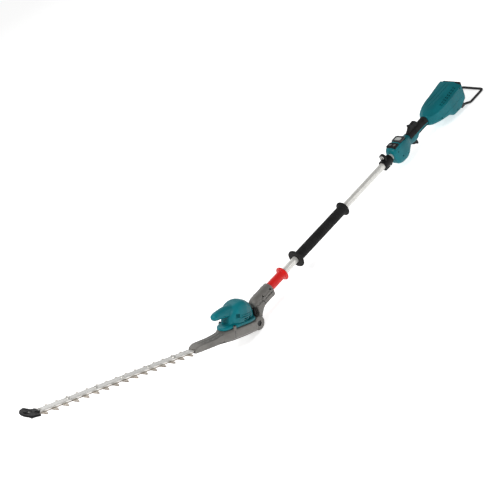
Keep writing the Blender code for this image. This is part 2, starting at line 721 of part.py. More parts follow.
def make_elbow():
    """The two castings that clamp the pole, the lower one reaching down to the pivot between the ears."""
    leg = metres([(108.6, 0), (108.6, -17), (105, -20.5), (58, -20.5), (49, -22), (38, -29),
                  (28.5, -37.5), (24, -45),
                  (23, -53.4), (21.5, -62), (16.3, -69.7), (8.7, -74.6), (0, -76.4), (-8.7, -74.6),
                  (-16.3, -69.7),
                  (-21.5, -62), (-23, -53.4),
                  (-21, -42), (-9, -35.5), (5, -32.5), (17, -28), (21, -12), (22, 0)])
    base = place("elbow_base", prism_mesh(leg, -23.5 * MM, 23.5 * MM, "XZ"), TOOL, material=GREY)
    round_edges(base, 3 * MM, 2, 50)
    for side in (1, -1):
        inner, outer = sorted((side * TONGUE_HALF, side * 60 * MM))
        ear_gap = box_mesh((-60 * MM, inner, -90 * MM), (60 * MM, outer, -PIVOT_DROP + 8 * MM))
        cut(base, cutter(f"cut_beside_tongue_{side}", ear_gap, TOOL))
        room = cylinder_mesh(EAR_RADIUS + 1.2 * MM, inner, outer, "Y", 32)
        cut(base, cutter(f"cut_ear_room_{side}", room, TOOL, (0, 0, -PIVOT_DROP)))
    pole_bore = cutter("cut_pole_seat", cylinder_mesh(PIPE_RADIUS + 0.1 * MM, CLAMP_START, 130 * MM, "X",
                                                      28), TOOL)
    collar_bore = cutter("cut_collar_seat", cylinder_mesh(COLLAR_RADIUS, CLAMP_END - 6 * MM, 130 * MM,
                                                          "X", 28), TOOL)
    pivot = cutter("cut_elbow_pivot", cylinder_mesh(PIVOT_BORE, -40 * MM, 40 * MM, "Y"), TOOL,
                   (0, 0, -PIVOT_DROP))
    split = cutter("cut_split", box_mesh((-60 * MM, -60 * MM, -0.15 * MM), (200 * MM, 60 * MM, 60 * MM)),
                   TOOL)
    cut(base, pole_bore, collar_bore, pivot, split)
    cut(base, *[cutter(f"cut_base_thread_{number}",
                       cylinder_mesh(2.2 * MM, -14 * MM, 20 * MM, segments=12), TOOL, at)
                for number, at in enumerate(clamp_screw_places())])
    return base


def clamp_screw_places():
    return [(x, side * CLAMP_SCREW_Y, 0) for side in (1, -1) for x in CLAMP_SCREW_X]


def cap_stations():
    return millimetres([
        (14, 0, -18, 6, 12, 2.4),
        (17, 0, -19, 11, 16.5, 2.4),
        (26, 0, -19.5, 17, 19, 2.3),
        (40, 0, -20, 20, 20.5, 2.2),
        (108.6, 0, -20, 20, 20.5, 2.2),
    ])


def make_elbow_cap():
    """The upper clamp half: a half-round crown with four screw lugs."""
    cap = place("elbow_cap", loft_mesh(cap_stations(), 24), TOOL, material=GREY)
    for number, (x, y, z) in enumerate(clamp_screw_places()):
        lug = cylinder_mesh(5.6 * MM, -2 * MM, CLAMP_LUG_TOP, segments=16)
        add(cap, cutter(f"cap_lug_{number}", lug, TOOL, (x, y, z)))
    for side in (1, -1):
        low, high = sorted((side * 8 * MM, side * 23 * MM))
        flange = box_mesh((50 * MM, low, -2 * MM), (108 * MM, high, 4.5 * MM))
        add(cap, cutter(f"cap_flange_{side}", flange, TOOL))
    split = cutter("cut_cap_split", box_mesh((-60 * MM, -60 * MM, -60 * MM),
                                             (200 * MM, 60 * MM, 0.15 * MM)), TOOL)
    pole_bore = cutter("cut_cap_pole", cylinder_mesh(PIPE_RADIUS + 0.1 * MM, CLAMP_START, 130 * MM, "X",
                                                     28), TOOL)
    collar = cutter("cut_cap_collar", cylinder_mesh(COLLAR_RADIUS, CLAMP_END - 6 * MM, 130 * MM, "X", 28),
                    TOOL)
    cut(cap, split, pole_bore, collar)
    for number, at in enumerate(clamp_screw_places()):
        cut(cap, cutter(f"cut_cap_hole_{number}", cylinder_mesh(2.4 * MM, -10 * MM, 20 * MM, segments=10),
                        TOOL, at),
            cutter(f"cut_cap_sink_{number}", cylinder_mesh(3.9 * MM, 4.6 * MM, 20 * MM, segments=12),
                   TOOL, at))
    return cap


def make_clamp_screws():
    profile = metres([(0, 6.8), (3.5, 6.8), (3.5, 4.9), (1.9, 4.9), (1.9, -12), (0, -12)])
    for number, at in enumerate(clamp_screw_places(), 1):
        turned(f"clamp_screw_{number}", profile, TOOL, DARK_STEEL, 14, at, closed=False)


def make_pivot_bolt():
    """The hexagon-headed pivot bolt and its nut, each sunk in an ear."""
    turn = (-pi / 2, 0, 0)
    bolt = turned("pivot_bolt", metres([(0, 19), (5.9, 19), (5.9, -21), (0, -21)]), HEAD, DARK_STEEL, 24,
                  (0, 0, 0),
                  turn, closed=False)
    add(bolt, cutter("bolt_hex", cylinder_mesh(9.6 * MM, 16.3 * MM, 20.5 * MM, "Y", 6), HEAD))
    nut = place("pivot_nut", cylinder_mesh(9.6 * MM, -20.5 * MM, -16.3 * MM, "Y", 6), HEAD,
                material=DARK_STEEL)
    cut(nut, cutter("cut_nut", cylinder_mesh(6.2 * MM, -40 * MM, 0, "Y"), HEAD))


def make_angle_lever():
    """The black thumb lever ahead of the elbow that frees the head's angle lock."""
    outline = metres([(-3, -1), (0, -3), (4, -2), (6.5, 6), (9.5, 15), (10, 21.5), (7, 23.5), (3.5, 22),
                      (2.2, 16), (-0.6, 8)])
    lever = place("angle_lever", prism_mesh(outline, -15 * MM, 15 * MM, "XZ"), TOOL, LEVER_FOOT,
                  material=BLACK_PLASTIC)
    round_edges(lever, 1.2 * MM)
    return lever


# ---------------------------------------------------------------- pole


def make_pole():
    turn = (0, pi / 2, 0)
    pipe = [(PIPE_RADIUS, PIPE_END), (PIPE_RADIUS, PIPE_START), (PIPE_BORE, PIPE_START),
            (PIPE_BORE, PIPE_END)]
    turned("main_pipe", pipe, TOOL, PIPE_METAL, 32, (0, 0, 0), turn)
    place("power_lead", cylinder_mesh(3.2 * MM, 54 * MM, 866 * MM, "X", 14), TOOL, material=BLACK_RUBBER)
    collar = metres([(12.3, 186), (22, 186), (25, 184.5), (25, 181.5), (22, 180), (17, 179), (15.6, 176),
                     (15.6, 104.5),
                     (12.3, 104.5)])
    turned("red_collar", collar, TOOL, RED, 28, (0, 0, 0), turn)
    start, end = GRIP_START / MM, GRIP_END / MM
    grip = metres([(12.25, end + 3), (24, end + 3), (26.5, end + 1), (26.5, end - 2), (24, end - 4),
                   (19, end - 6),
                   (17.5, end - 10), (17.1, (start + end) / 2), (17.5, start + 10), (19.5, start + 6),
                   (29, start + 4.5),
                   (32, start + 2), (32, start - 2), (29, start - 4), (12.25, start - 4)])
    turned("front_grip", grip, TOOL, BLACK_RUBBER, 28, (0, 0, 0), turn)


def make_hanger():
    """The strap hanger: a split clamp on the pole with a lug on top and an foot for its screw beneath."""
    outer = 17 * MM
    inner = PIPE_RADIUS + GAP
    edge = 1.5 * MM
    band = [(inner, HANGER_END), (outer - edge, HANGER_END), (outer, HANGER_END - edge),
            (outer, HANGER_START + edge),
            (outer - edge, HANGER_START), (inner, HANGER_START)]
    clamp = turned("hanger_clamp", band, TOOL, BLACK_PLASTIC, 28, (0, 0, 0), (0, pi / 2, 0))
    crown = cylinder_mesh(HANGER_LUG_RADIUS, -4 * MM, 4 * MM, "X", 24)
    neck = box_mesh((-4 * MM, -HANGER_LUG_RADIUS, -14 * MM), (4 * MM, HANGER_LUG_RADIUS, 0))
    foot = box_mesh((HANGER_START + 3 * MM, -7 * MM, -21.5 * MM), (HANGER_END - 3 * MM, 7 * MM, -13 * MM))
    add(clamp, cutter("hanger_foot", foot, TOOL), cutter("hanger_crown", crown, TOOL, HANGER_EYE),
        cutter("hanger_neck", neck, TOOL, HANGER_EYE))
    slit = box_mesh((760 * MM, -0.8 * MM, -60 * MM), (860 * MM, 0.8 * MM, 0))
    bore = cylinder_mesh(12.3 * MM, 760 * MM, 860 * MM, "X", 28)
    eye = cylinder_mesh(6 * MM, -20 * MM, 20 * MM, "X", 20)
    screw_hole = cylinder_mesh(2.3 * MM, -20 * MM, 20 * MM, "Y", 12)
    screw_seat = cylinder_mesh(3.9 * MM, -30 * MM, -7 * MM, "Y", 16)
    cut(clamp, cutter("cut_hanger_slit", slit, TOOL), cutter("cut_hanger_bore", bore, TOOL),
        cutter("cut_hanger_eye", eye, TOOL, HANGER_EYE),
        cutter("cut_hanger_screw", screw_hole, TOOL, HANGER_SCREW),
        cutter("cut_hanger_seat", screw_seat, TOOL, HANGER_SCREW))
    return clamp


def make_hanger_eyelet():
    """The steel eyelet pressed into the lug, which takes the shoulder strap's snap hook."""
    profile = metres([(4.6, 5.2), (7.4, 5.2), (7.4, 4.3), (5.7, 4.3), (5.7, -4.3), (7.4, -4.3),
                      (7.4, -5.2), (4.6, -5.2)])
    turned("hanger_eyelet", profile, TOOL, BRIGHT, 20, HANGER_EYE, (0, pi / 2, 0))


def make_hanger_screw():
    profile = metres([(0, 10.6), (3.4, 10.6), (3.4, 7.3), (2, 7.3), (2, -9), (0, -9)])
    turned("hanger_screw", profile, TOOL, BRIGHT, 16, HANGER_SCREW, (pi / 2, 0, 0), closed=False)


# ---------------------------------------------------------------- grip shells


def grip_stations():
    """Sections of the control pod, the trigger's bulge and the rear handle, from the pole to the battery housing."""
    return millimetres([
        (829, 0, -23, 23, 19, 2.6),
        (833, 0, -30, 28, 23, 3.2),
        (843, 0, -38.5, 31.5, 25.5, 4),
        (861, 0, -43.5, 32.5, 26, 4),
        (882, 0, -44, 33, 26, 4),
        (900, 0, -38, 32, 25, 3.6),
        (914, 0, -29, 27, 22, 3),
        (928, 0, -24, 20.5, 16, 2.8),
        (945, 0, -25.5, 16.8, 13.2, 2.8),
        (966, 0, -27.5, 16.5, 12.8, 2.8),
        (976, 0, -26.5, 16.5, 12.8, 2.8),
        (985, 0, -20, 16.5, 13, 2.6),
        (994, 0, -14.5, 16.5, 13, 2.4),
        (1020, 0, -14, 16.8, 13, 2.4),
        (1046, 0, -15, 17.5, 14.2, 2.4),
    ])


def make_grip_shells():
    """The left and right mouldings that meet on the middle plane and hold the switch and the panel."""
    name = "grip_shell_left"
    shell = place_about(name, loft_mesh(grip_stations(), 28), TOOL, (930 * MM, 0, 0), TEAL_SHELL)
    half = box_mesh((700 * MM, -90 * MM, -90 * MM), (1200 * MM, -0.15 * MM, 90 * MM))
    keep(shell, cutter(f"keep_{name}", half, TOOL))
    room = loft_mesh(inset(grip_stations()[1:], WALL, (2 * MM, 6 * MM)), 18)
    pole = cylinder_mesh(PIPE_RADIUS + 0.2 * MM, 700 * MM, 840 * MM, "X", 28)
    display = box_mesh((871.6 * MM, -20.9 * MM, 24 * MM), (907.4 * MM, 20.9 * MM, 60 * MM))
    keys = box_mesh((838.5 * MM, -20.5 * MM, 24 * MM), (866.5 * MM, 20.5 * MM, 60 * MM))
    lever_slot = box_mesh((934 * MM, -7 * MM, 6 * MM), (1010 * MM, 7 * MM, 60 * MM))
    trigger_slot = box_mesh((933 * MM, -6.5 * MM, -60 * MM), (980 * MM, 6.5 * MM, -8 * MM))
    openings = {"room": room, "pole": pole, "display": display, "keys": keys, "lever": lever_slot,
                "trigger": trigger_slot}
    for label, mesh in openings.items():
        cut(shell, cutter(f"cut_{name}_{label}", mesh, TOOL))
    mirrored_copy("grip_shell_right", shell)


def sleeve_stations(grow):
    return [(x, y, low - grow, high + grow, half + grow, power)
            for x, y, low, high, half, power in grip_stations()[7:]]


def make_handle_pads():
    """The soft black covering over the top and down both sides of the handle, and the strip beneath it."""
    for name, low, high in (("handle_cover", -3.5 * MM, 60 * MM),
                            ("handle_under_pad", -60 * MM, -10.5 * MM)):
        pad = place(name, loft_mesh(sleeve_stations(2.2 * MM), 28), TOOL, material=BLACK_RUBBER)
        start = 935 * MM if high > 0 else 993 * MM
        keep(pad, cutter(f"keep_{name}", box_mesh((start, -60 * MM, low), (1043.5 * MM, 60 * MM, high)),
                         TOOL))
        core = cutter(f"cut_{name}_core", loft_mesh(longer(sleeve_stations(GAP)), 28), TOOL)
        cut(pad, core)
        if high > 0:
            slot = box_mesh((900 * MM, -7 * MM, 0), (1010 * MM, 7 * MM, 60 * MM))
            cut(pad, cutter("cut_cover_lever", slot, TOOL))


def longer(stations):
    """The same sections with both ends carried a little further, for a clean cut."""
    first, last = stations[0], stations[-1]
    return [(first[0] - 4 * MM, *first[1:]), *stations, (last[0] + 4 * MM, *last[1:])]


def make_panel():
    """The display window and the key pad on the pod's top, with a power key and a speed key."""
    display = prism_mesh(rounded_outline(17.6 * MM, 20.6 * MM, 8 * MM), 29 * MM, 34 * MM)
    display_part = place("display_panel", display, TOOL, (889.5 * MM, 0, 0), material=GLOSS_BLACK)
    lens_seat = prism_mesh(rounded_outline(11.2 * MM, 16.2 * MM, 4 * MM), 33 * MM, 36 * MM)
    cut(display_part, cutter("cut_lens_seat", lens_seat, TOOL, (889.5 * MM, 0, 0)))
    lens = prism_mesh(rounded_outline(10.9 * MM, 15.9 * MM, 3.7 * MM), 33.3 * MM, 34.4 * MM)
    place("display_lens", lens, TOOL, (889.5 * MM, 0, 0), material=LENS)
    keys = prism_mesh(rounded_outline(13.7 * MM, 20.2 * MM, 5 * MM), 28 * MM, 33.4 * MM)
    key_pad = place("key_pad", keys, TOOL, (852.5 * MM, 0, 0), material=BLACK_PLASTIC)
    for name, y, radius in (("power_key", -9.5 * MM, 5.2 * MM), ("speed_key", 8.5 * MM, 6.2 * MM)):
        hole = cylinder_mesh(radius + 0.3 * MM, 29.5 * MM, 40 * MM, segments=24)
        cut(key_pad, cutter(f"cut_{name}", hole, TOOL, (852.5 * MM, y, 0)))
        place(name, cylinder_mesh(radius, 31.2 * MM, 34.6 * MM, segments=20), TOOL, (852.5 * MM, y, 0),
              material=KEY_GREY)


def make_trigger():
    """The trigger hangs from a pin at its front and its finger tip points down."""
    outline = metres([(-4, 4), (6, 5), (28, 2), (31, -4), (30.5, -16), (32.5, -26), (31, -31.5),
                      (27.5, -32), (20, -26),
                      (8, -21), (-1, -14), (-4, -6)])
    trigger = place("trigger", prism_mesh(outline, -6 * MM, 6 * MM, "XZ"), TOOL,
                    (TRIGGER_PIVOT[0], 0, TRIGGER_PIVOT[1]), material=BLACK_PLASTIC)
    round_edges(trigger, 1 * MM)
    return trigger


def make_lock_lever():
    """The lock-off lever on top of the handle, hinged at its rear end."""
    outline = metres([(6, -2.5), (8, 4), (4, 11), (-2, 18), (-7, 24.5), (-12, 26.5), (-27, 25), (-34, 26),
                      (-39, 30),
                      (-43.5, 30.5), (-45, 27), (-44, 21), (-51, 13.5), (-61, 7.5), (-64, 3.5), (-45, 2),
                      (-20, -2.5)])
    lever = place("lock_off_lever", prism_mesh(outline, -6.4 * MM, 6.4 * MM, "XZ"), TOOL,
                  (LEVER_PIVOT[0], 0, LEVER_PIVOT[1]), material=BLACK_PLASTIC)
    round_edges(lever, 1 * MM)
    return lever


def make_switch():
    place("switch_body", box_mesh((940 * MM, -6 * MM, -5 * MM), (972 * MM, 6 * MM, 3.5 * MM)), TOOL,
          material=BLACK_PLASTIC)


# ---------------------------------------------------------------- battery housing


def rear_stations():
    return millimetres([
        (1046.4, 0, -19.5, 20, 17, 2.6),
        (1051, 0, -25, 23, 23, 2.8),
        (1059, 0, -29, 25, 29.5, 3),
        (1076, 0, -31.5, 27, 36.5, 3.4),
        (1104, 0, -34, 28.5, 42.5, 4),
        (1136, 0, -37.5, 30.5, 45, 5),
        (1150, 0, -43, 31.5, 46, 6),
        (1164, 0, -49.5, 33, 46.5, 6.5),
        (1195, 0, -50.5, 36.5, 47, 7),
        (1217, 0, -41, 39, 47.5, 7),
        (1234, 0, -31.5, 40, 47.5, 7),
    ])


def make_rear_shells():
    """The two halves of the housing behind the handle, which carries the battery on its flat back."""
    name = "rear_shell_left"
    shell = place_about(name, loft_mesh(rear_stations(), 28), TOOL, (1135 * MM, 0, 0), TEAL_SHELL)
    half = box_mesh((1000 * MM, -90 * MM, -90 * MM), (1300 * MM, -0.15 * MM, 90 * MM))
    keep(shell, cutter(f"keep_{name}", half, TOOL))
    room = loft_mesh(inset(rear_stations(), WALL, (-6 * MM, -3 * MM)), 20)
    window = box_mesh((1220 * MM, -22.3 * MM, -20.3 * MM), (1260 * MM, 22.3 * MM, 20.3 * MM))
    cut(shell, cutter(f"cut_{name}_room", room, TOOL), cutter(f"cut_{name}_window", window, TOOL),
        *rear_vents(name))
    mirrored_copy("rear_shell_right", shell)


def rear_vents(name):
    """A double row of slots along the left top edge."""
    tools = []
    for number in range(8):
        x = (1119 + number * 13) * MM
        for row, y in enumerate((28 * MM, 34.5 * MM)):
            slot = box_mesh((-4.3 * MM, -1.9 * MM, -6 * MM), (4.3 * MM, 1.9 * MM, 40 * MM))
            tools.append(cutter(f"cut_{name}_vent_{number}_{row}", slot, TOOL, (x, -y, 24 * MM)))
    return tools


def make_battery_mount():
    """The black plate with two undercut rails that the battery slides onto, and the terminal block."""
    plate = place("battery_rails", box_mesh((1234.4 * MM, -38 * MM, -26 * MM),
                                            (1238 * MM, 38 * MM, 34 * MM)), TOOL,
                  material=BLACK_PLASTIC)
    for side in (1, -1):
        low, high = sorted((side * 34 * MM, side * 38 * MM))
        lip_low, lip_high = sorted((side * 29 * MM, side * 38 * MM))
        web = box_mesh((1237 * MM, low, -26 * MM), (1246 * MM, high, 34 * MM))
        lip = box_mesh((1243 * MM, lip_low, -26 * MM), (1246 * MM, lip_high, 34 * MM))
        add(plate, cutter(f"rail_web_{side}", web, TOOL), cutter(f"rail_lip_{side}", lip, TOOL))
    stop = box_mesh((1237 * MM, -38 * MM, 30 * MM), (1246 * MM, 38 * MM, 34 * MM))
    add(plate, cutter("rail_stop", stop, TOOL))
    cut(plate, cutter("cut_terminal_window", box_mesh((1200 * MM, -22.3 * MM, -20.3 * MM),
                                                      (1300 * MM, 22.3 * MM, 20.3 * MM)), TOOL))
    block = place("terminal_block", box_mesh((1216 * MM, -22 * MM, -20 * MM),
                                             (1241 * MM, 22 * MM, 20 * MM)), TOOL,
                  material=BLACK_PLASTIC)
    for y in (-14, -5, 5, 14):
        slot = box_mesh((1228 * MM, (y - 1.2) * MM, -30 * MM), (1260 * MM, (y + 1.2) * MM, 12 * MM))
        cut(block, cutter(f"cut_terminal_{y}", slot, TOOL))
    place("controller_board", box_mesh((1120 * MM, -34 * MM, -8 * MM), (1190 * MM, 34 * MM, 4 * MM)),
          TOOL,
          material=BOARD_GREEN)


def make_rear_hook():
    """The coated rod behind the battery space: a flat U whose two feet bolt under the housing."""
    right = [(1208, 41, -44), (1220, 42, -46), (1236, 44.5, -51), (1250, 46, -57), (1262, 46.5, -59),
             (1327, 46.5, -59),
             (1334.5, 44.5, -59), (1339, 39.5, -59)]
    path = right + [(x, -y, z) for x, y, z in reversed(right)]
    curve = bpy.data.curves.new("rear_hook", "CURVE")
    curve.dimensions = "3D"
    curve.bevel_depth = 4.6 * MM
    curve.bevel_resolution = 2
    curve.use_fill_caps = True
    line = curve.splines.new("POLY")
    line.points.add(len(path) - 1)
    for point, (x, y, z) in zip(line.points, path):
        point.co = (x * MM, y * MM, z * MM, 1.0)
    guide = bpy.data.objects.new("hook_guide", curve)
    PARTS.objects.link(guide)
    bpy.context.view_layer.update()
    mesh = bpy.data.meshes.new_from_object(guide.evaluated_get(bpy.context.evaluated_depsgraph_get()))
    bpy.data.objects.remove(guide, do_unlink=True)
    bm = bmesh.new()
    bm.from_mesh(mesh)
    bmesh.ops.remove_doubles(bm, verts=bm.verts, dist=0.00001)
    hook = place("rear_hook", finish(bm, "rear_hook"), TOOL, material=BLACK_RUBBER)
    for side in (1, -1):
        low, high = sorted((side * 35.5 * MM, side * 47 * MM))
        foot = box_mesh((1203 * MM, low, -51 * MM), (1220 * MM, high, -34 * MM))
        add(hook, cutter(f"hook_foot_{side}", foot, TOOL))
    body = cutter("cut_hook_body", loft_mesh(inset(rear_stations(), -GAP), 28), TOOL)
    cut(hook, body)
    return hook


# ---------------------------------------------------------------- assembly

clear_scene()
PARTS = new_collection("pole_hedge_trimmer")
CUTTERS = new_collection("cutters", hidden=True)

TEAL_SHELL = look("teal_plastic", TEAL, 0.42)
BLACK_PLASTIC = look("black_plastic", BLACK, 0.5)
BLACK_RUBBER = look("black_elastomer", (0.02, 0.02, 0.02), 0.75)
GLOSS_BLACK = look("gloss_black", (0.01, 0.01, 0.011), 0.12)
LENS = look("display_lens", (0.5, 0.52, 0.5), 0.2)
KEY_GREY = look("key_grey", (0.12, 0.12, 0.12), 0.5)
GREY = look("cast_grey", CAST_GREY, 0.5, 0.35)
RED = look("red_plastic", (0.56, 0.022, 0.018), 0.38)
PIPE_METAL = look("anodised_pipe", (0.66, 0.65, 0.63), 0.3, 0.9)
BRIGHT = look("bright_steel", STEEL, 0.28, 1.0)
BLADE_STEEL = look("blade_steel", (0.36, 0.33, 0.3), 0.38, 0.9)
DARK_STEEL = look("dark_steel", (0.09, 0.09, 0.09), 0.42, 0.9)
COPPER = look("winding", (0.35, 0.14, 0.06), 0.45, 0.6)
BOARD_GREEN = look("board_green", (0.02, 0.11, 0.04), 0.5)

TOOL = frame_empty("tool_frame", None,
                   Matrix.Translation((-LENGTH_CENTRE, 0, FLOOR_DROP)) @ Matrix.Rotation(LIE_ANGLE, 4,
                                                                                         "Y"))
HEAD = frame_empty("head_frame", TOOL,
                   Matrix.Translation((0, 0, -PIVOT_DROP)) @ Matrix.Rotation(HEAD_ANGLE, 4, "Y") @
                   Matrix.Rotation(pi, 4, "Z"))

make_gear_case()
make_case_cover()
make_bar_screws()
make_case_screws()
make_motor_housing()
make_motor()
make_crank()
make_rods()
make_blade("upper_blade", UPPER_BLADE_Z)
make_blade("lower_blade", LOWER_BLADE_Z)
make_guide_bar()
make_blade_bolts()
make_tip_guard()
make_elbow()
make_elbow_cap()
make_clamp_screws()
make_pivot_bolt()
make_angle_lever()
make_pole()
make_hanger()
make_hanger_eyelet()
make_hanger_screw()
make_grip_shells()
make_handle_pads()
make_panel()
make_trigger()
make_lock_lever()
make_switch()
make_rear_shells()
make_battery_mount()
make_rear_hook()
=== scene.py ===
"""Looks of the pole hedge trimmer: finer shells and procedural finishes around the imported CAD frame."""
from math import ceil, cos, pi, radians, sin

import bmesh
import bpy
from mathutils import Matrix, Vector


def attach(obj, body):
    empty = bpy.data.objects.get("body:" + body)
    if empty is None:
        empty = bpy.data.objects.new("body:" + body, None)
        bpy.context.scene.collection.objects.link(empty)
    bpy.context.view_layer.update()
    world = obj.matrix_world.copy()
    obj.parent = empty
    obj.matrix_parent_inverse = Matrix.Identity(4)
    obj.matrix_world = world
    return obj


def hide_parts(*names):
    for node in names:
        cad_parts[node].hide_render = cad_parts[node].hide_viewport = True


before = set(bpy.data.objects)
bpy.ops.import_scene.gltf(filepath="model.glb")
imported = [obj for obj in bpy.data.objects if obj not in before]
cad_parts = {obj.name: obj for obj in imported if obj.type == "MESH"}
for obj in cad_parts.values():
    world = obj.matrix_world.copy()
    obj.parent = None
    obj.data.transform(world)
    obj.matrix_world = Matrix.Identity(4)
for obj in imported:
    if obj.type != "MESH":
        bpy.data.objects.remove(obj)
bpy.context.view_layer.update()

# Shapes below are in millimetres, in the pole's own frame or the cutting head's, as in the CAD.
MM = 0.001
LIE_ANGLE = 0.59
HEAD_ANGLE = 25.25
PIVOT_DROP = 53.4
TOOL = (Matrix.Translation((-0.2495, 0, 0.07742)) @ Matrix.Rotation(radians(LIE_ANGLE), 4, "Y") @
        Matrix.Scale(MM, 4))
HEAD = (TOOL @ Matrix.Translation((0, 0, -PIVOT_DROP)) @ Matrix.Rotation(radians(HEAD_ANGLE), 4, "Y") @
        Matrix.Rotation(pi, 4, "Z"))
HEAD_TURN = radians(HEAD_ANGLE + LIE_ANGLE)
GAP = 0.3
WALL = 2.5
FAR = 60
SMOOTH_ANGLE = radians(32)

# The cutting head.
EAR_RADIUS = 24
EAR_OUTER = 23.5
TONGUE_HALF = 12
PIVOT_BORE = 6.2
MOTOR_X = 68
CRANK_X = 93
HOUSING_SCREWS = ((122, 33.5), (122, -33.5))
TEETH = 16
PITCH = 37.5
FIRST_TOOTH = 304.5
TOOTH_REACH = 31
BLADE_HALF = 11
BLADE_THICK = 1.8
UPPER_BLADE_Z = -16.2
LOWER_BLADE_Z = -18.3
BLADE_END = 892
ROD_PIN_X = 187
BAR_START = 224
BAR_END = 908
BAR_HALF = 10
BAR_BOTTOM = -15
BAR_TOP = -12
CROWN_HALF = 12.6
CROWN_TOP = -9.6
COVER_SEAT_Z = -20.2
FIRST_BOLT = 873
BOLT_SPACING = 2.75 * PITCH
BOLTS = [FIRST_BOLT - number * BOLT_SPACING for number in range(6)]
BOLT_HOLE = 3.2
BAR_SCREWS = (236, 266)
BAR_SCREW_HOLE = 2.8
SLOT_TRAVEL = 10
GUARD_SCREW_X = 905.5
GUARD_SCREW_HOLE = 2.3

# The pole and its clamp.
PIPE_RADIUS = 12
COLLAR_RADIUS = 16
CLAMP_START = 48
CLAMP_END = 109
CLAMP_SCREWS = [(x, side * 19.5) for side in (1, -1) for x in (60, 98)]
CLAMP_SPLIT = 0.15
GRIP_START = 261
GRIP_END = 531
HANGER_START = 774
HANGER_END = 819
HANGER_EYE = (790, 0, 26)
HANGER_SCREW = (800, 0, -17.4)

# The control pod and the battery housing.
KEY_PAD_X = 852.5
DISPLAY_X = 889.5
KEYS = (("power_key", "power_button", -9.5, 5.2), ("speed_key", "speed_button", 8.5, 6.2))
PARTING_GAP = 0.15
HOOK_FOOT_X = 1211.5
HOOK_FOOT_Y = 41.25
HOOK_ROD = 4.6

# Sections along X: (x, bottom, top, half width, squareness).
CASE = [
    (9, -17, 12, 23, 4), (20, -21, 17.5, 31, 5), (60, -22, 18, 36, 6), (118, -22, 18, 36, 6),
    (136, -21, 17, 32, 5), (150, -20, 13.5, 24, 6), (160, -19, 8.5, 20.5, 7),
    (172, -18.5, 6.5, 19.5, 8), (190, -21.8, 4, 20.3, 8), (206, -21.8, 2.6, 20.3, 9),
    (258, -21.8, 1.6, 20.3, 9), (272, -21, -2, 18.5, 7), (279.5, -20.4, -6, 16.5, 6),
]
DOME = [
    (14, 19, 33, 10, 2.4), (18, 19, 47, 14, 2.4), (26, 19, 64, 19.5, 2.5), (40, 19, 83.5, 28, 2.7),
    (55, 19, 93.5, 34, 2.8), (70, 19, 96.5, 37.5, 3.3), (84, 19, 95.5, 37.5, 3.5),
    (100, 19, 90.5, 36, 3.5), (114, 19, 83, 31, 3), (124, 19, 72, 25, 2.8), (130, 19, 58, 19, 2.6),
]
NOSE = [
    (100, 48, 88, 24, 2.3), (118, 50.5, 88.5, 22, 2.2), (136, 53, 87, 19.5, 2.1),
    (154, 53.5, 83.5, 17.5, 2.1), (170, 53, 80, 15.5, 2.1), (180, 54.5, 76, 12.5, 2.1),
    (185, 58, 72, 8, 2.1), (186.5, 62, 68, 4, 2.1),
]
FOOT = [
    (17, 18.4, 30, 18, 4), (22, 18.4, 31, 26, 4), (34, 18.4, 31, 32, 4), (60, 18.4, 31, 36, 5),
    (110, 18.4, 31, 36, 5), (119, 18.4, 30, 32, 4), (134, 17, 28.5, 28, 4),
    (146, 15, 26.5, 23, 3.5), (153, 14.5, 24.5, 17.5, 3), (157, 16, 22, 10, 2.6),
]
CAP = [
    (14, -18, 6, 12, 2.4), (17, -19, 11, 16.5, 2.4), (26, -19.5, 17, 19, 2.3),
    (40, -20, 20, 20.5, 2.2), (108.6, -20, 20, 20.5, 2.2),
]
POD = [
    (829, -23, 23, 19, 2.6), (833, -30, 28, 23, 3.2), (843, -38.5, 31.5, 25.5, 4),
    (861, -43.5, 32.5, 26, 4), (882, -44, 33, 26, 4), (900, -38, 32, 25, 3.6),
    (914, -29, 27, 22, 3), (928, -24, 20.5, 16, 2.8), (945, -25.5, 16.8, 13.2, 2.8),
    (966, -27.5, 16.5, 12.8, 2.8), (976, -26.5, 16.5, 12.8, 2.8), (985, -20, 16.5, 13, 2.6),
    (994, -14.5, 16.5, 13, 2.4), (1020, -14, 16.8, 13, 2.4), (1046, -15, 17.5, 14.2, 2.4),
]
REAR = [
    (1046.4, -18.5, 20, 17, 2.6), (1051, -23, 23, 23, 2.8), (1059, -26, 25, 29.5, 3.2),
    (1076, -28, 27, 36.5, 4.2), (1104, -30, 28.5, 42.5, 7), (1134, -34, 30.5, 45, 9),
    (1143, -37, 31, 45.5, 9), (1153, -48, 32, 46, 9), (1162, -50.3, 33, 46.5, 9),
    (1195, -50.5, 36.5, 47, 10), (1217, -41, 39, 47.5, 10), (1234, -31.5, 40, 47.5, 10),
]


# ---------------------------------------------------------------- shapes


def add_object(name, data):
    """A new object in the scene."""
    obj = bpy.data.objects.new(name, data)
    bpy.context.scene.collection.objects.link(obj)
    return obj


def mesh_of(bm, name="shape"):
    """The finished mesh, with its faces turned outward."""
    bmesh.ops.recalc_face_normals(bm, faces=bm.faces)
    mesh = bpy.data.meshes.new(name)
    bm.to_mesh(mesh)
    bm.free()
    return mesh


def block(low, high, turn=(0, 0, 0), at=(0, 0, 0)):
    """A box between two corners, then turned about the origin and moved."""
    bm = bmesh.new()
    bmesh.ops.create_cube(bm, size=1.0)
    bmesh.ops.scale(bm, vec=Vector(high) - Vector(low), verts=bm.verts)
    bmesh.ops.translate(bm, vec=(Vector(high) + Vector(low)) / 2, verts=bm.verts)
    return moved(mesh_of(bm), at, turn)


def moved(mesh, at=(0, 0, 0), turn=(0, 0, 0)):
    """The mesh turned about the origin's axes, then moved."""
    placing = Matrix.Translation(Vector(at))
    for angle, axis in zip(turn, "XYZ"):
        placing = placing @ Matrix.Rotation(angle, 4, axis)
    mesh.transform(placing)
    return mesh


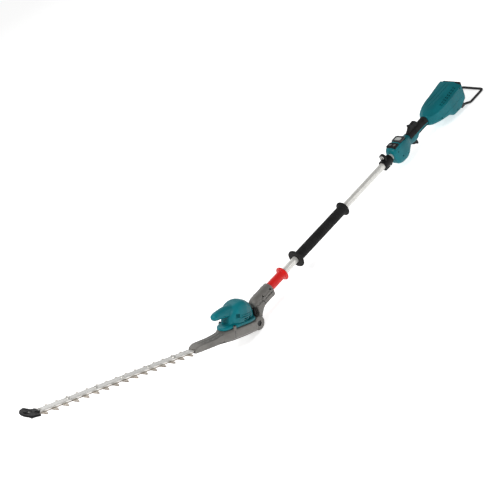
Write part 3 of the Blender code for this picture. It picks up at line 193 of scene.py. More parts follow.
def skinned(bm, rings):
    """A closed body over rings of corners, with a flat face at each end."""
    for ring, after in zip(rings, rings[1:]):
        for k in range(len(ring)):
            following = (k + 1) % len(ring)
            bm.faces.new((ring[k], ring[following], after[following], after[k]))
    bm.faces.new(rings[0])
    bm.faces.new(rings[-1])
    return mesh_of(bm)


def across(side, near, far):
    """The low and high ends of a stretch on one side of the middle plane."""
    return sorted((side * near, side * far))


def rod(radius, low, high, axis="Z", at=(0, 0, 0), steps=48):
    """A round bar from low to high along an axis."""
    turns = {"Z": (0, 0, 0), "X": (0, pi / 2, 0), "Y": (-pi / 2, 0, 0)}
    return turned([(0, high), (radius, high), (radius, low), (0, low)], at, turns[axis], steps)


def turned(profile, at=(0, 0, 0), turn=(0, 0, 0), steps=64):
    """A solid of revolution about Z from (radius, height) points."""
    bm = bmesh.new()
    rings = []
    for radius, height in profile:
        if radius == 0:
            rings.append([bm.verts.new((0, 0, height))] * steps)
        else:
            angles = [2 * pi * k / steps for k in range(steps)]
            rings.append([bm.verts.new((radius * cos(a), radius * sin(a), height)) for a in angles])
    closed = profile[0][0] != 0
    for ring, after in zip(rings, rings[1:] + (rings[:1] if closed else [])):
        for k in range(steps):
            corners = [ring[k], ring[(k + 1) % steps], after[(k + 1) % steps], after[k]]
            bm.faces.new(list(dict.fromkeys(corners)))
    return moved(mesh_of(bm), at, turn)


def prism(outline, low, high, plane="XY", chamfer=0.0):
    """An outline given depth. A chamfer draws the two end faces in."""
    ends = [(low, -chamfer), (low + chamfer, 0), (high - chamfer, 0), (high, -chamfer)]
    levels = ends if chamfer else [(low, 0), (high, 0)]
    bm = bmesh.new()
    rings = []
    for level, grow in levels:
        points = grown(outline, grow) if grow else outline
        rings.append([bm.verts.new((u, v, level) if plane == "XY" else (u, level, v)) for u, v in points])
    return skinned(bm, rings)


def grown(outline, by):
    """The outline with every corner moved out along its mean normal, or in for a negative amount."""
    area = sum(a[0] * b[1] - b[0] * a[1] for a, b in zip(outline, outline[1:] + outline[:1]))
    sign = 1 if area > 0 else -1
    result = []
    for k, (u, v) in enumerate(outline):
        before = outline[k - 1]
        after = outline[(k + 1) % len(outline)]
        first = Vector((v - before[1], before[0] - u)).normalized()
        second = Vector((after[1] - v, u - after[0])).normalized()
        normal = (first + second).normalized()
        reach = by * sign / max(0.5, normal.dot(first))
        result.append((u + normal.x * reach, v + normal.y * reach))
    return result


def filleted(points, radius, steps=5):
    """The outline with each corner rounded by a short curve."""
    result = []
    for k, point in enumerate(points):
        corner = Vector(point)
        before = Vector(points[k - 1]) - corner
        after = Vector(points[(k + 1) % len(points)]) - corner
        cut_back = min(radius, before.length * 0.45, after.length * 0.45)
        start = corner + before.normalized() * cut_back
        end = corner + after.normalized() * cut_back
        for step in range(steps + 1):
            t = step / steps
            spot = start * (1 - t) ** 2 + corner * 2 * t * (1 - t) + end * t ** 2
            result.append((spot.x, spot.y))
    return result


def rounded_box(half_u, half_v, radius, centre=(0, 0), steps=8):
    """The outline of a rectangle with round corners."""
    outline = []
    for sign_u, sign_v, start in ((1, 1, 0), (-1, 1, pi / 2), (-1, -1, pi), (1, -1, 1.5 * pi)):
        for step in range(steps + 1):
            angle = start + step * pi / 2 / steps
            outline.append((centre[0] + sign_u * (half_u - radius) + radius * cos(angle),
                            centre[1] + sign_v * (half_v - radius) + radius * sin(angle)))
    return outline


def slopes(xs, values):
    """Gradients for a smooth curve through the values that never overshoots them."""
    steps = [(b - a) / (xb - xa) for a, b, xa, xb in zip(values, values[1:], xs, xs[1:])]
    inner = [0 if first * second <= 0 else 2 * first * second / (first + second)
             for first, second in zip(steps, steps[1:])]
    return [steps[0], *inner, steps[-1]]


def section_at(stations, x):
    """The section's (bottom, top, half width, squareness) at any x between the stations."""
    xs = [station[0] for station in stations]
    x = min(max(x, xs[0]), xs[-1])
    place = max(k for k in range(len(xs) - 1) if xs[k] <= x)
    span = xs[place + 1] - xs[place]
    t = (x - xs[place]) / span
    result = []
    for column in range(1, 5):
        values = [station[column] for station in stations]
        gradient = slopes(xs, values)
        result.append((2 * t ** 3 - 3 * t ** 2 + 1) * values[place] +
                      (t ** 3 - 2 * t ** 2 + t) * span * gradient[place] +
                      (3 * t ** 2 - 2 * t ** 3) * values[place + 1] +
                      (t ** 3 - t ** 2) * span * gradient[place + 1])
    return result


def refined(stations, step):
    """The stations with smooth sections added between them."""
    rows = []
    for station, after in zip(stations, stations[1:]):
        count = max(1, ceil((after[0] - station[0]) / step))
        for k in range(count):
            x = station[0] + (after[0] - station[0]) * k / count
            rows.append((x, *section_at(stations, x)))
    return rows + [stations[-1]]


def loft(stations, points=72, step=4.0, grow=0.0, ends=(0, 0)):
    """A smooth body along X through the sections, grown by a margin and lengthened at its ends."""
    rows = refined(stations, step)
    rows[0] = (rows[0][0] - ends[0], *rows[0][1:])
    rows[-1] = (rows[-1][0] + ends[1], *rows[-1][1:])
    bm = bmesh.new()
    rings = []
    for x, bottom, top, half, power in rows:
        middle = (bottom + top) / 2
        rise = (top - bottom) / 2 + grow
        ring = []
        for k in range(points):
            angle = 2 * pi * (k + 0.5) / points
            c, s = cos(angle), sin(angle)
            across = abs(c) ** (2 / power) * (1 if c > 0 else -1)
            up = abs(s) ** (2 / power) * (1 if s > 0 else -1)
            ring.append(bm.verts.new((x, (half + grow) * across, middle + rise * up)))
        rings.append(ring)
    return skinned(bm, rings)


def skin_y(stations, x, z):
    """The half width of the body's side at height z."""
    bottom, top, half, power = section_at(stations, x)
    share = min(1, abs(z - (bottom + top) / 2) / ((top - bottom) / 2))
    return half * (1 - share ** power) ** (1 / power)


def skin_z(stations, x, y):
    """The height of the body's top at a sideways place y."""
    bottom, top, half, power = section_at(stations, x)
    share = min(1, abs(y) / half)
    return (bottom + top) / 2 + (top - bottom) / 2 * (1 - share ** power) ** (1 / power)


def tube(path, radius, steps=12, taper=0):
    """A round bead along a path, drawn to a point over the first and last few places."""
    bm = bmesh.new()
    rings = []
    points = [Vector(point) for point in path]
    for k, point in enumerate(points):
        ahead = (points[min(k + 1, len(points) - 1)] - points[max(k - 1, 0)]).normalized()
        side = ahead.cross(Vector((0, 0, 1)) if abs(ahead.z) < 0.9 else Vector((0, 1, 0))).normalized()
        up = side.cross(ahead)
        edge = min(k, len(points) - 1 - k)
        size = radius * min(1.0, 0.35 + edge / taper) if taper else radius
        angles = [2 * pi * n / steps for n in range(steps)]
        rings.append([bm.verts.new(point + (side * cos(a) + up * sin(a)) * size) for a in angles])
    return skinned(bm, rings)


def joined(*meshes):
    """Several meshes as one, for a single cut."""
    bm = bmesh.new()
    for mesh in meshes:
        bm.from_mesh(mesh)
    result = bpy.data.meshes.new("joined")
    bm.to_mesh(result)
    bm.free()
    return result


def carved(base, *steps):
    """The base after Boolean steps of (operation, tool mesh)."""
    body = add_object("carved", base)
    tools = []
    for operation, mesh in steps:
        tool = add_object("tool", mesh)
        change = body.modifiers.new("step", "BOOLEAN")
        change.operation = operation
        change.solver = "MANIFOLD"
        change.object = tool
        tools.append(tool)
    bpy.context.view_layer.update()
    result = bpy.data.meshes.new_from_object(body.evaluated_get(bpy.context.evaluated_depsgraph_get()))
    for helper in (body, *tools):
        bpy.data.objects.remove(helper, do_unlink=True)
    return result


def cut(base, *tools):
    """The base with the tools taken away from it one by one."""
    return carved(base, *[("DIFFERENCE", tool) for tool in tools])


def united(base, *tools):
    """The base with the tools added to it one by one."""
    return carved(base, *[("UNION", tool) for tool in tools])


def soften(obj, width, segments=2, angle=38):
    """Rounded edges and even shading on a finished piece."""
    weld = obj.modifiers.new("weld", "WELD")
    weld.merge_threshold = 0.00001
    edges = obj.modifiers.new("edges", "BEVEL")
    edges.width = width * MM
    edges.segments = segments
    edges.limit_method = "ANGLE"
    edges.angle_limit = radians(angle)
    edges.use_clamp_overlap = True
    edges.harden_normals = True
    return obj


def piece(name, mesh, place, body, finish, replaces=(), edge=0.5):
    """A visible piece in metres on its CAD body, standing for the CAD nodes it replaces."""
    material, slot = finish
    mesh.name = name
    mesh.transform(place)
    mesh.shade_smooth()
    mesh.set_sharp_from_angle(angle=SMOOTH_ANGLE)
    mesh.materials.clear()
    mesh.materials.append(material)
    obj = add_object(name, mesh)
    if edge:
        soften(obj, edge)
    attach(obj, body)
    if replaces:
        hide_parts(*replaces)
    return obj


# ---------------------------------------------------------------- finishes


class Finish:
    """A Principled material whose detail is built from a few shared node steps."""

    def __init__(self, name, colour, roughness, metallic=0.0):
        self.material = bpy.data.materials.new(name)
        self.material.use_nodes = True
        self.material.diffuse_color = (*colour, 1)
        self.tree = self.material.node_tree
        self.shader = self.tree.nodes["Principled BSDF"]
        self.fixed("Base Color", (*colour, 1))
        self.fixed("Roughness", roughness)
        self.fixed("Metallic", metallic)
        self.place = self.node("ShaderNodeTexCoord").outputs["Object"]

    def node(self, kind, **settings):
        """A new node with its settings."""
        made = self.tree.nodes.new(kind)
        for key, value in settings.items():
            setattr(made, key, value)
        return made

    def feed(self, socket, value):
        """A link from another socket, or a plain value."""
        if hasattr(value, "is_linked"):
            self.tree.links.new(value, socket)
        else:
            socket.default_value = value

    def stretched(self, scale, turn=0.0):
        """Coordinates scaled along each axis, after a turn about Y that lines them up with a part."""
        aligned = self.node("ShaderNodeMapping", vector_type="TEXTURE")
        aligned.inputs["Rotation"].default_value = (0, turn, 0)
        self.feed(aligned.inputs["Vector"], self.place)
        scaled = self.node("ShaderNodeMapping")
        scaled.inputs["Scale"].default_value = scale
        self.feed(scaled.inputs["Vector"], aligned.outputs["Vector"])
        return scaled.outputs["Vector"]

    def noise(self, scale, detail=3.0, place=None):
        """Soft noise, with its scale per metre."""
        made = self.node("ShaderNodeTexNoise")
        self.feed(made.inputs["Vector"], place or self.place)
        made.inputs["Scale"].default_value = scale
        made.inputs["Detail"].default_value = detail
        made.inputs["Roughness"].default_value = 0.55
        return made.outputs["Fac"]

    def cells(self, scale):
        """Distance to the nearest of many scattered points: round dimples or pits."""
        made = self.node("ShaderNodeTexVoronoi")
        self.feed(made.inputs["Vector"], self.place)
        made.inputs["Scale"].default_value = scale
        return made.outputs["Distance"]

    def spread(self, value, low, high, out_low=0.0, out_high=1.0):
        """The value's range from low to high carried onto another range."""
        made = self.node("ShaderNodeMapRange")
        for name, setting in (("Value", value), ("From Min", low), ("From Max", high), ("To Min", out_low),
                              ("To Max", out_high)):
            self.feed(made.inputs[name], setting)
        return made.outputs["Result"]

    def sum(self, first, second, share=1.0):
        """The first value plus a share of the second."""
        made = self.node("ShaderNodeMath", operation="MULTIPLY_ADD")
        self.feed(made.inputs[0], second)
        self.feed(made.inputs[1], share)
        self.feed(made.inputs[2], first)
        return made.outputs["Value"]

    def product(self, first, second):
        """Two values multiplied."""
        made = self.node("ShaderNodeMath", operation="MULTIPLY")
        self.feed(made.inputs[0], first)
        self.feed(made.inputs[1], second)
        return made.outputs["Value"]

    def mix(self, share, first, second):
        """A colour between the first and the second."""
        made = self.node("ShaderNodeMix", data_type="RGBA")
        self.feed(made.inputs["Factor"], share)
        self.feed(made.inputs["A"], (*first, 1) if isinstance(first, tuple) else first)
        self.feed(made.inputs["B"], (*second, 1) if isinstance(second, tuple) else second)
        return made.outputs["Result"]

    def worn_edges(self, reach=0.0012):
        """1 along outer edges and 0 on open faces, broken up by noise."""
        rounded = self.node("ShaderNodeBevel", samples=4)
        rounded.inputs["Radius"].default_value = reach
        facing = self.node("ShaderNodeNewGeometry")
        match = self.node("ShaderNodeVectorMath", operation="DOT_PRODUCT")
        self.feed(match.inputs[0], rounded.outputs["Normal"])
        self.feed(match.inputs[1], facing.outputs["Normal"])
        edge = self.spread(match.outputs["Value"], 0.97, 0.86)
        broken = self.spread(self.noise(90, 4), 0.42, 0.6)
        return self.product(edge, broken)

    def fixed(self, socket, value):
        """A shader setting that is the same all over."""
        self.shader.inputs[socket].default_value = value

    def mottled(self, value, colour, dark, light):
        """The colour varied between a darker and a lighter share of itself."""
        return self.mix(self.spread(value, 0.35, 0.65), tuple(c * dark for c in colour),
                        tuple(c * light for c in colour))

    def colour(self, value):
        """The surface's base colour."""
        self.feed(self.shader.inputs["Base Color"], value)

    def roughness(self, value, low, high):
        """Roughness that follows a noise value between two limits."""
        self.feed(self.shader.inputs["Roughness"], self.spread(value, 0.3, 0.7, low, high))

    def bump(self, height, depth, strength=0.6):
        """Fine relief, with its depth in metres."""
        made = self.node("ShaderNodeBump")
        made.inputs["Strength"].default_value = strength
        made.inputs["Distance"].default_value = depth
        self.feed(made.inputs["Height"], height)
        self.feed(self.shader.inputs["Normal"], made.outputs["Normal"])


def moulded(name, colour, roughness, grain=1400, depth=0.00008, wear=0.35, coat=0.0):
    """Injection-moulded plastic: fine spark texture, slight flow marks and paler rubbed edges."""
    made = Finish(name, colour, roughness)
    shade = made.mottled(made.noise(14, 3), colour, 0.86, 1.12)
    rubbed = made.product(made.worn_edges(), wear)
    pale = tuple(min(1.0, c * 1.5 + 0.05) for c in colour)
    made.colour(made.mix(rubbed, shade, pale))
    spark = made.noise(grain, 2)
    made.roughness(made.sum(spark, made.noise(60, 4), 0.5), roughness - 0.07, roughness + 0.1)
    made.bump(spark, depth)
    made.fixed("Specular IOR Level", 0.2)
    made.fixed("Coat Weight", coat)
    made.fixed("Coat Roughness", 0.25)
    return made.material


def soft_touch(name, colour, roughness=0.72):
    """Moulded elastomer: close dimples, dusty sheen and a matt surface."""
    made = Finish(name, colour, roughness)
    dimples = made.cells(620)
    dust = made.spread(made.noise(35, 5), 0.4, 0.72)
    made.colour(made.mix(dust, colour, tuple(c * 1.7 + 0.004 for c in colour)))
    made.roughness(made.noise(120, 3), roughness - 0.1, roughness + 0.1)
    made.bump(dimples, 0.00022, 0.7)
    made.fixed("Specular IOR Level", 0.15)
    made.fixed("Sheen Weight", 0.03)
    made.fixed("Sheen Roughness", 0.5)
    return made.material


def cast_metal(name, colour):
    """Die-cast aluminium under warm grey paint: orange peel, small pits and bare metal on the edges."""
    made = Finish(name, colour, 0.46, 0.3)
    peel = made.noise(420, 3)
    shade = made.mottled(made.noise(18, 4), colour, 0.86, 1.14)
    made.colour(made.mix(made.worn_edges(0.0016), shade, (0.42, 0.41, 0.39)))
    made.roughness(made.noise(150, 4), 0.38, 0.58)
    made.bump(made.sum(peel, made.spread(made.cells(260), 0.05, 0.2), 0.35), 0.00016, 0.65)
    return made.material


def drawn_metal(name, colour, roughness, turn=0.0, pull=(6, 900, 900), tint=None, metallic=0.9):
    """Metal with fine lines along one direction, from drawing or grinding."""
    made = Finish(name, colour, roughness, metallic)
    lines = made.noise(1.0, 3, made.stretched(pull, turn))
    cloud = made.noise(22, 4)
    darker = tint or tuple(c * 0.8 for c in colour)
    blend = made.spread(made.sum(lines, cloud, 0.6), 0.6, 1.05)
    made.colour(made.mix(blend, darker, colour))
    made.roughness(lines, roughness - 0.08, roughness + 0.14)
    made.bump(lines, 0.00003, 0.5)
    return made.material


def plated_metal(name, colour, roughness, metallic=1.0):
    """Plated or blackened steel for bolts and screws: faint mottling and bright edges."""
    made = Finish(name, colour, roughness, metallic)
    mottle = made.noise(240, 4)
    shade = made.mottled(mottle, colour, 0.8, 1.1)
    made.colour(made.mix(made.worn_edges(0.0006), shade, tuple(min(1, c * 1.6 + 0.06) for c in colour)))
    made.roughness(mottle, roughness - 0.06, roughness + 0.12)
    made.bump(mottle, 0.00004, 0.5)
    return made.material


def wound_copper(name):
    """Enamelled wire in close turns."""
    made = Finish(name, (0.35, 0.14, 0.06), 0.4, 0.6)
    turns = made.node("ShaderNodeTexWave", bands_direction="Z")
    made.feed(turns.inputs["Vector"], made.place)
    turns.inputs["Scale"].default_value = 500
    turns.inputs["Distortion"].default_value = 1.2
    made.colour(made.mix(turns.outputs["Fac"], (0.2, 0.07, 0.03), (0.45, 0.2, 0.08)))
    made.roughness(made.noise(300, 2), 0.3, 0.5)
    made.bump(turns.outputs["Fac"], 0.0002)
    return made.material


def circuit_board(name):
    """Solder mask with paler copper tracks under it."""
    made = Finish(name, (0.02, 0.11, 0.04), 0.35)
    tracks = made.node("ShaderNodeTexBrick")
    made.feed(tracks.inputs["Vector"], made.stretched((160, 160, 160)))
    made.colour(made.mix(tracks.outputs["Fac"], (0.015, 0.1, 0.04), (0.05, 0.2, 0.07)))
    made.roughness(made.noise(200, 2), 0.28, 0.45)
    made.bump(tracks.outputs["Fac"], 0.00005)
    return made.material


def glass_window(name):
    """The clear window over a pale grey display: soft cloudiness under a gloss coat."""
    made = Finish(name, (0.5, 0.52, 0.5), 0.18)
    haze = made.noise(40, 3)
    made.colour(made.mix(made.spread(haze, 0.35, 0.65), (0.42, 0.45, 0.43), (0.62, 0.64, 0.62)))
    made.roughness(haze, 0.1, 0.24)
    made.bump(made.noise(900, 2), 0.00001, 0.3)
    made.fixed("Coat Weight", 1.0)
    made.fixed("Coat Roughness", 0.05)
    return made.material


TEAL = (moulded("teal_plastic", (0.001, 0.15, 0.178), 0.32, wear=0.12, coat=0.02), "teal_shell")
BLACK = (moulded("black_plastic", (0.005, 0.005, 0.0055), 0.42, wear=0.05), "black_plastic")
RUBBER = (soft_touch("black_elastomer", (0.009, 0.009, 0.009)), "black_elastomer")
COATED = (moulded("coated_rod", (0.01, 0.01, 0.011), 0.3, 700, 0.00015, 0.1, 0.3), "black_elastomer")
GLOSS = (moulded("gloss_black", (0.012, 0.012, 0.013), 0.14, 2200, 0.00002, 0.1, 0.6), "gloss_black")
LENS = (glass_window("display_lens"), "display_lens")
KEY = (moulded("key_grey", (0.13, 0.13, 0.13), 0.46), "key_grey")
CAST = (cast_metal("cast_grey", (0.165, 0.157, 0.145)), "cast_grey")
RED = (moulded("red_plastic", (0.6, 0.012, 0.01), 0.26, 1100, 0.00006, 0.12, 0.25), "red_plastic")
PIPE = (drawn_metal("anodised_pipe", (0.8, 0.79, 0.75), 0.26, metallic=0.35), "pipe_metal")
BRIGHT = (plated_metal("bright_steel", (0.58, 0.57, 0.54), 0.26), "bright_steel")
BAR = (drawn_metal("bar_steel", (0.78, 0.77, 0.74), 0.32, HEAD_TURN, metallic=0.7), "bright_steel")
UPPER = (drawn_metal("blade_steel", (0.62, 0.56, 0.49), 0.3, HEAD_TURN, (900, 8, 900), metallic=0.7),
         "blade_steel")
# Both blades are the same steel; the lower blade's darker colour and tint are painted shade, because it
# lies under the upper blade and the bar.
LOWER = (drawn_metal("lower_blade_painted_shade", (0.34, 0.29, 0.24), 0.36, HEAD_TURN, (900, 8, 900),
                     (0.2, 0.15, 0.12)), "blade_steel")
# Blackened steel for the screws; its near-black base colour is also painted shade, standing in for the
# shade in the hex recess around the pivot bolt.
DARK = (plated_metal("dark_steel", (0.018, 0.018, 0.018), 0.36, 0.4), "dark_steel")
COPPER = (wound_copper("winding"), "winding")
BOARD = (circuit_board("board_green"), "board_green")


# ---------------------------------------------------------------- cutting head


def screw_wells(radius, low, high):
    """Upright rods at the two screws that hold the motor housing."""
    return joined(*[rod(radius, low, high, at=(x, y, 0)) for x, y in HOUSING_SCREWS])


def slot_through(x, z, length, height, side):
    """A vent slot with round ends that goes sideways through a wall."""
    outline = rounded_box(length / 2, height / 2, height / 2 - 0.05, (x, z), 4)
    return prism(outline, *across(side, 22, 50), "XZ")


def make_motor_housing():
    """The dome over the motor, its forward nose and the foot on the gear case."""
    shell = united(loft(DOME, 96, 3), loft(FOOT, 80, 4), loft(NOSE, 64, 4),
                   block((12.6, -9.3, 21.4), (24, 9.3, 29.6)))
    for side in (1, -1):
        for number, (z, start, end) in enumerate(((46, 30, 97), (52.5, 40, 92))):
            count = 24
            xs = [start + (end - start) * k / count for k in range(count + 1)]
            beside = [(x, side * (skin_y(DOME, x, z) + 0.2), z + 0.02 * number) for x in xs]
            bead = tube(beside, 2.1, 12, 4)
            shell = united(shell, bead)
    wall = united(rod(28, 10, 75, at=(MOTOR_X, 0, 0)), loft(CASE, 48, 6, GAP))
    vents = [slot_through(x, z, 17, 3.6, side) for side in (1, -1) for z in (33.6, 39.8) for x in (50, 71)]
    louvres = [block((-7, -14, -1.1), (7, 14, 1.1), (0, 0, -side * radians(35)), (104, side * 33, z))
               for side in (1, -1) for z in (51, 54.4, 57.8, 61.2)]
    shell = cut(shell, wall, joined(*vents), joined(*louvres), screw_wells(5.6, 0, 60))
    return piece("housing_shell", shell, HEAD, "head", TEAL, ["motor_housing"], 0.6)


def make_gear_case():
    """The upper casting: drive cavity, pivot ears and the long neck over the blades."""
    rim = 3
    lip = [(EAR_RADIUS - rim, EAR_OUTER), (EAR_RADIUS - rim / 3, EAR_OUTER - rim / 3),
           (EAR_RADIUS, EAR_OUTER - rim)]
    profile = [(0, EAR_OUTER)] + lip + [(radius, -y) for radius, y in reversed(lip)] + [(0, -EAR_OUTER)]
    barrel = turned(profile, turn=(-pi / 2, 0, 0), steps=72)
    web = block((0, rim - EAR_OUTER, -17), (22, EAR_OUTER - rim, 13))
    spine = tube([(x, 0, skin_z(CASE, x, 0) - 4.2) for x in range(150, 266, 6)], 5.6, 24, 3)
    case = united(loft(CASE, 80, 4), web, barrel, screw_wells(5.1, 12, 27), spine)
    half = TONGUE_HALF + GAP
    chamfers = [block((26, -40, -40), (152, 40, 0), (side * radians(38), 0, 0), (0, side * 36.5, -11))
                for side in (1, -1)]
    hexes = [rod(10.4, *across(side, 16, 40), "Y", steps=6) for side in (1, -1)]
    grooves = [tube([(x, side * 13.2, skin_z(CASE, x, 13.2) + 0.4) for x in range(160, 258, 6)], 1.9, 12, 2)
               for side in (1, -1)]
    skins = [across(side, 18.4, 24) for side in (1, -1)]
    seams = [block((216, low, -18), (217.3, high, -3)) for low, high in skins]
    notches = [block((x - 4.5, side * 22 - 4.5, -24), (x + 4.5, side * 22 + 4.5, -14.6)) for side in (1, -1)
               for x in (242, 161)]
    inside = [rod(26, 1, 30, at=(MOTOR_X, 0, 0)), rod(22.5, -30, -1.5, at=(CRANK_X, 0, 0)),
              rod(8.1, -9, 7.5, at=(CRANK_X, 0, 0)), rod(8.3, -30, 5, at=(MOTOR_X, 0, 0)),
              block((CRANK_X - 16, -19, -30), (CRANK_X + 44, 19, -11.7)),
              block((CRANK_X, -13, -30), (300, 13, -11.75))]
    case = cut(case, rod(EAR_RADIUS + 2, -half, half, "Y"), rod(PIVOT_BORE, -40, 40, "Y"), *hexes, *inside,
               block((15, -50, -40), (300, 50, COVER_SEAT_Z)), *chamfers, screw_wells(2.3, -15, 40),
               joined(*[rod(BAR_SCREW_HOLE, -30, -3, at=(x, 0, 0)) for x in BAR_SCREWS]),
               joined(*grooves), joined(*seams), joined(*notches))
    return piece("gear_casting", case, HEAD, "head", CAST, ["gear_case"], 0.7)


def blade_outline():
    """One blade seen from above: a spine with a tapered, blunt-ended tooth at every pitch on each side."""
    rear = ROD_PIN_X - 7
    side = [(rear, 5), (rear + 14, BLADE_HALF - 1)]
    for tooth in range(TEETH):
        x = FIRST_TOOTH + tooth * PITCH
        side += [(x - 9.5, BLADE_HALF - 1), (x - 3.1, TOOTH_REACH - 2.4), (x - 1.6, TOOTH_REACH - 0.2),
                 (x + 1.6, TOOTH_REACH - 0.2), (x + 3.1, TOOTH_REACH - 2.4), (x + 9.5, BLADE_HALF - 1)]
    side.append((BLADE_END, 7.5))
    return side + [(x, -y) for x, y in reversed(side)]


def make_blades():
    """The two toothed blades, ground to an edge along every tooth, with their sliding slots."""
    # The lower blade takes the steel finish painted darker as shade.
    for name, middle, body, finish in (("upper_blade", UPPER_BLADE_Z, "cutter_upper", UPPER),
                                       ("lower_blade", LOWER_BLADE_Z, "cutter_lower", LOWER)):
        low, high = middle - BLADE_THICK / 2, middle + BLADE_THICK / 2
        flat = prism(blade_outline(), low, high, chamfer=0.55)
        slots = [prism(rounded_box(4.6 + SLOT_TRAVEL, 4.2, 4.1, (x, 0), 4), low - 2, high + 2)
                 for x in BOLTS]
        narrow = prism(rounded_box(3.1 + SLOT_TRAVEL + 16, 2.8, 2.7, (251, 0), 4), low - 2, high + 2)
        blade = cut(flat, joined(*slots, narrow))
        piece(f"{name}_ground", blade, HEAD, body, finish, [name], 0)


def make_guide_bar():
    """The long bar over the blades: a flat strip with a thicker, wider crown along most of it."""
    strip = rounded_box((BAR_END - BAR_START) / 2, BAR_HALF, 4, ((BAR_START + BAR_END) / 2, 0), 6)
    crown_start, crown_end = BAR_START + 62, BAR_END - 29
    crown = rounded_box((crown_end - crown_start) / 2, CROWN_HALF, 2, ((crown_end + crown_start) / 2, 0))
    bolt_holes = [rod(BOLT_HOLE, -20, 0, at=(x, 0, 0), steps=24) for x in BOLTS]
    screw_holes = [rod(BAR_SCREW_HOLE, -20, 0, at=(x, 0, 0), steps=24) for x in BAR_SCREWS]
    guard_hole = rod(GUARD_SCREW_HOLE, -30, 0, at=(GUARD_SCREW_X, 0, 0))
    bar = cut(united(prism(strip, BAR_BOTTOM, BAR_TOP, chamfer=0.6),
                     prism(crown, BAR_BOTTOM, CROWN_TOP, chamfer=1.3)),
              joined(*bolt_holes, *screw_holes, guard_hole))
    return piece("blade_bar", bar, HEAD, "head", BAR, ["guide_bar"], 0)


def make_blade_bolts():
    """Shouldered bolts through the blades: a hexagon and washer on top, a broad flat head below."""
    for number, x in enumerate(BOLTS, 1):
        stem = turned([(0, -9), (2.9, -9), (2.9, -15.25), (4, -15.25), (4, -19.5), (6.4, -19.5),
                       (7, -20), (7, -21), (6.3, -21.5), (2.4, -21.5), (2.2, -21.1), (0, -21.1)],
                      (x, 0, 0), steps=40)
        rim = [(0, -9), (6.9, -9), (7.2, -9.2), (7.2, CROWN_TOP), (0, CROWN_TOP)]
        washer = turned(rim, (x, 0, 0), steps=40)
        bolt = united(stem, washer, rod(5.8, -9.2, -7.6, at=(x, 0, 0), steps=6))
        piece(f"bolt_{number}_visible", bolt, HEAD, "head", BRIGHT, [f"blade_bolt_{number}"], 0.25)


def make_tip_guard():
    """The plastic guard over the blade's tip: swept wings with raised ribs and a hanging hole."""
    side = [(889, 11), (893, 22), (896, 33), (897, 41.8), (906, 40.5), (917, 35), (925, 26), (930, 15),
            (931.8, 5)]
    outline = filleted(side + [(x, -y) for x, y in reversed(side)], 1.6, 4)
    plate = prism(outline, -11.4, -5, chamfer=1.4)
    saddle = prism(rounded_box(11.5, 14, 3, (899.5, 0)), -22.5, -4.4, chamfer=1.2)
    bridge = block((881, -13, -14.6), (900, 13, -5.6))
    ribs = [tube([(900 + 5.5 * t, sign * (14 + 20 * t), -5.3) for t in (0, 0.25, 0.5, 0.75, 1)], 1.2, 12, 1)
            for sign in (1, -1)]
    room = block((850, -10.3, -15.3), (BAR_END + GAP, 10.3, -11.7))
    blades = block((850, -11.6, -20.2), (903, 11.6, -14))
    hole = prism(rounded_box(4.8, 11, 4.7, (919.5, 0)), -30, 0)
    screw_hole = rod(GUARD_SCREW_HOLE, -30, 0, at=(GUARD_SCREW_X, 0, 0))
    head_seat = rod(6.2, -8.5, 0, at=(GUARD_SCREW_X, 0, 0))
    guard = cut(united(plate, saddle, bridge, *ribs), room, blades, hole, screw_hole, head_seat)
    return piece("tip_guard_moulded", guard, HEAD, "head", BLACK, ["tip_guard"], 0.5)


# ---------------------------------------------------------------- elbow


def make_elbow():
    """The lower clamp casting and the leg that reaches down to the pivot between the ears."""
    leg = [(108.6, 0), (108.6, -17), (105, -20.5), (58, -20.5), (49, -22), (38, -29), (28.5, -37.5),
           (24, -45)]
    barrel = [(23.4 * cos(radians(a)), -PIVOT_DROP + 23 * sin(radians(a))) for a in range(-5, -180, -15)]
    back = [(-23, -PIVOT_DROP), (-21, -42), (-9, -35.5), (5, -32.5), (17, -28), (21, -12), (22, 0)]
    outline = filleted(leg, 4)[5:-5] + barrel + filleted(back, 7)[6:-6] + [back[-1]]
    body = prism(outline, -23.5, 23.5, "XZ", 2.6)
    tools = []
    for side in (1, -1):
        inner, outer = across(side, TONGUE_HALF, FAR)
        tools.append(block((-60, inner, -90), (60, outer, -PIVOT_DROP + 8)))
        tools.append(rod(EAR_RADIUS + 1.2, inner, outer, "Y", (0, 0, -PIVOT_DROP)))
        for x, lean in ((91.5, -18), (53.4, -7)):
            low, high = across(side, 21.2, 30)
            tools.append(block((-1.1, low, -17), (1.1, high, 14), (0, radians(lean), 0), (x, 0, -2)))
    tools += [rod(PIPE_RADIUS + 0.1, CLAMP_START, 130, "X"), rod(COLLAR_RADIUS, CLAMP_END - 6, 130, "X"),
              rod(PIVOT_BORE, -40, 40, "Y", (0, 0, -PIVOT_DROP)),
              block((-FAR, -FAR, -CLAMP_SPLIT), (200, FAR, FAR))]
    tools += [rod(2.2, -14, 20, at=(x, y, 0)) for x, y in CLAMP_SCREWS]
    return piece("elbow_casting", cut(body, *tools), TOOL, "pole", CAST, ["elbow_base"], 0.8)


def make_elbow_cap():
    """The upper clamp half: a half-round crown with a flange on each side and four screw lugs."""
    lugs = [rod(5.6, -2, 8, at=(x, y, 0)) for x, y in CLAMP_SCREWS]
    spans = [across(side, 8, 23) for side in (1, -1)]
    flanges = [block((50, low, -2), (108, high, 4.5)) for low, high in spans]
    cap = united(loft(CAP, 72, 5), *lugs, *flanges)
    holes = [rod(2.4, -10, 20, at=(x, y, 0)) for x, y in CLAMP_SCREWS]
    sinks = [rod(3.9, 4.6, 20, at=(x, y, 0)) for x, y in CLAMP_SCREWS]
    cap = cut(cap, block((-FAR, -FAR, -FAR), (200, FAR, CLAMP_SPLIT)),
              rod(PIPE_RADIUS + 0.1, CLAMP_START, 130, "X"),
              rod(COLLAR_RADIUS, CLAMP_END - 6, 130, "X"), joined(*holes), joined(*sinks))
    return piece("elbow_crown", cap, TOOL, "pole", CAST, ["elbow_cap"], 0.9)


# ---------------------------------------------------------------- pole


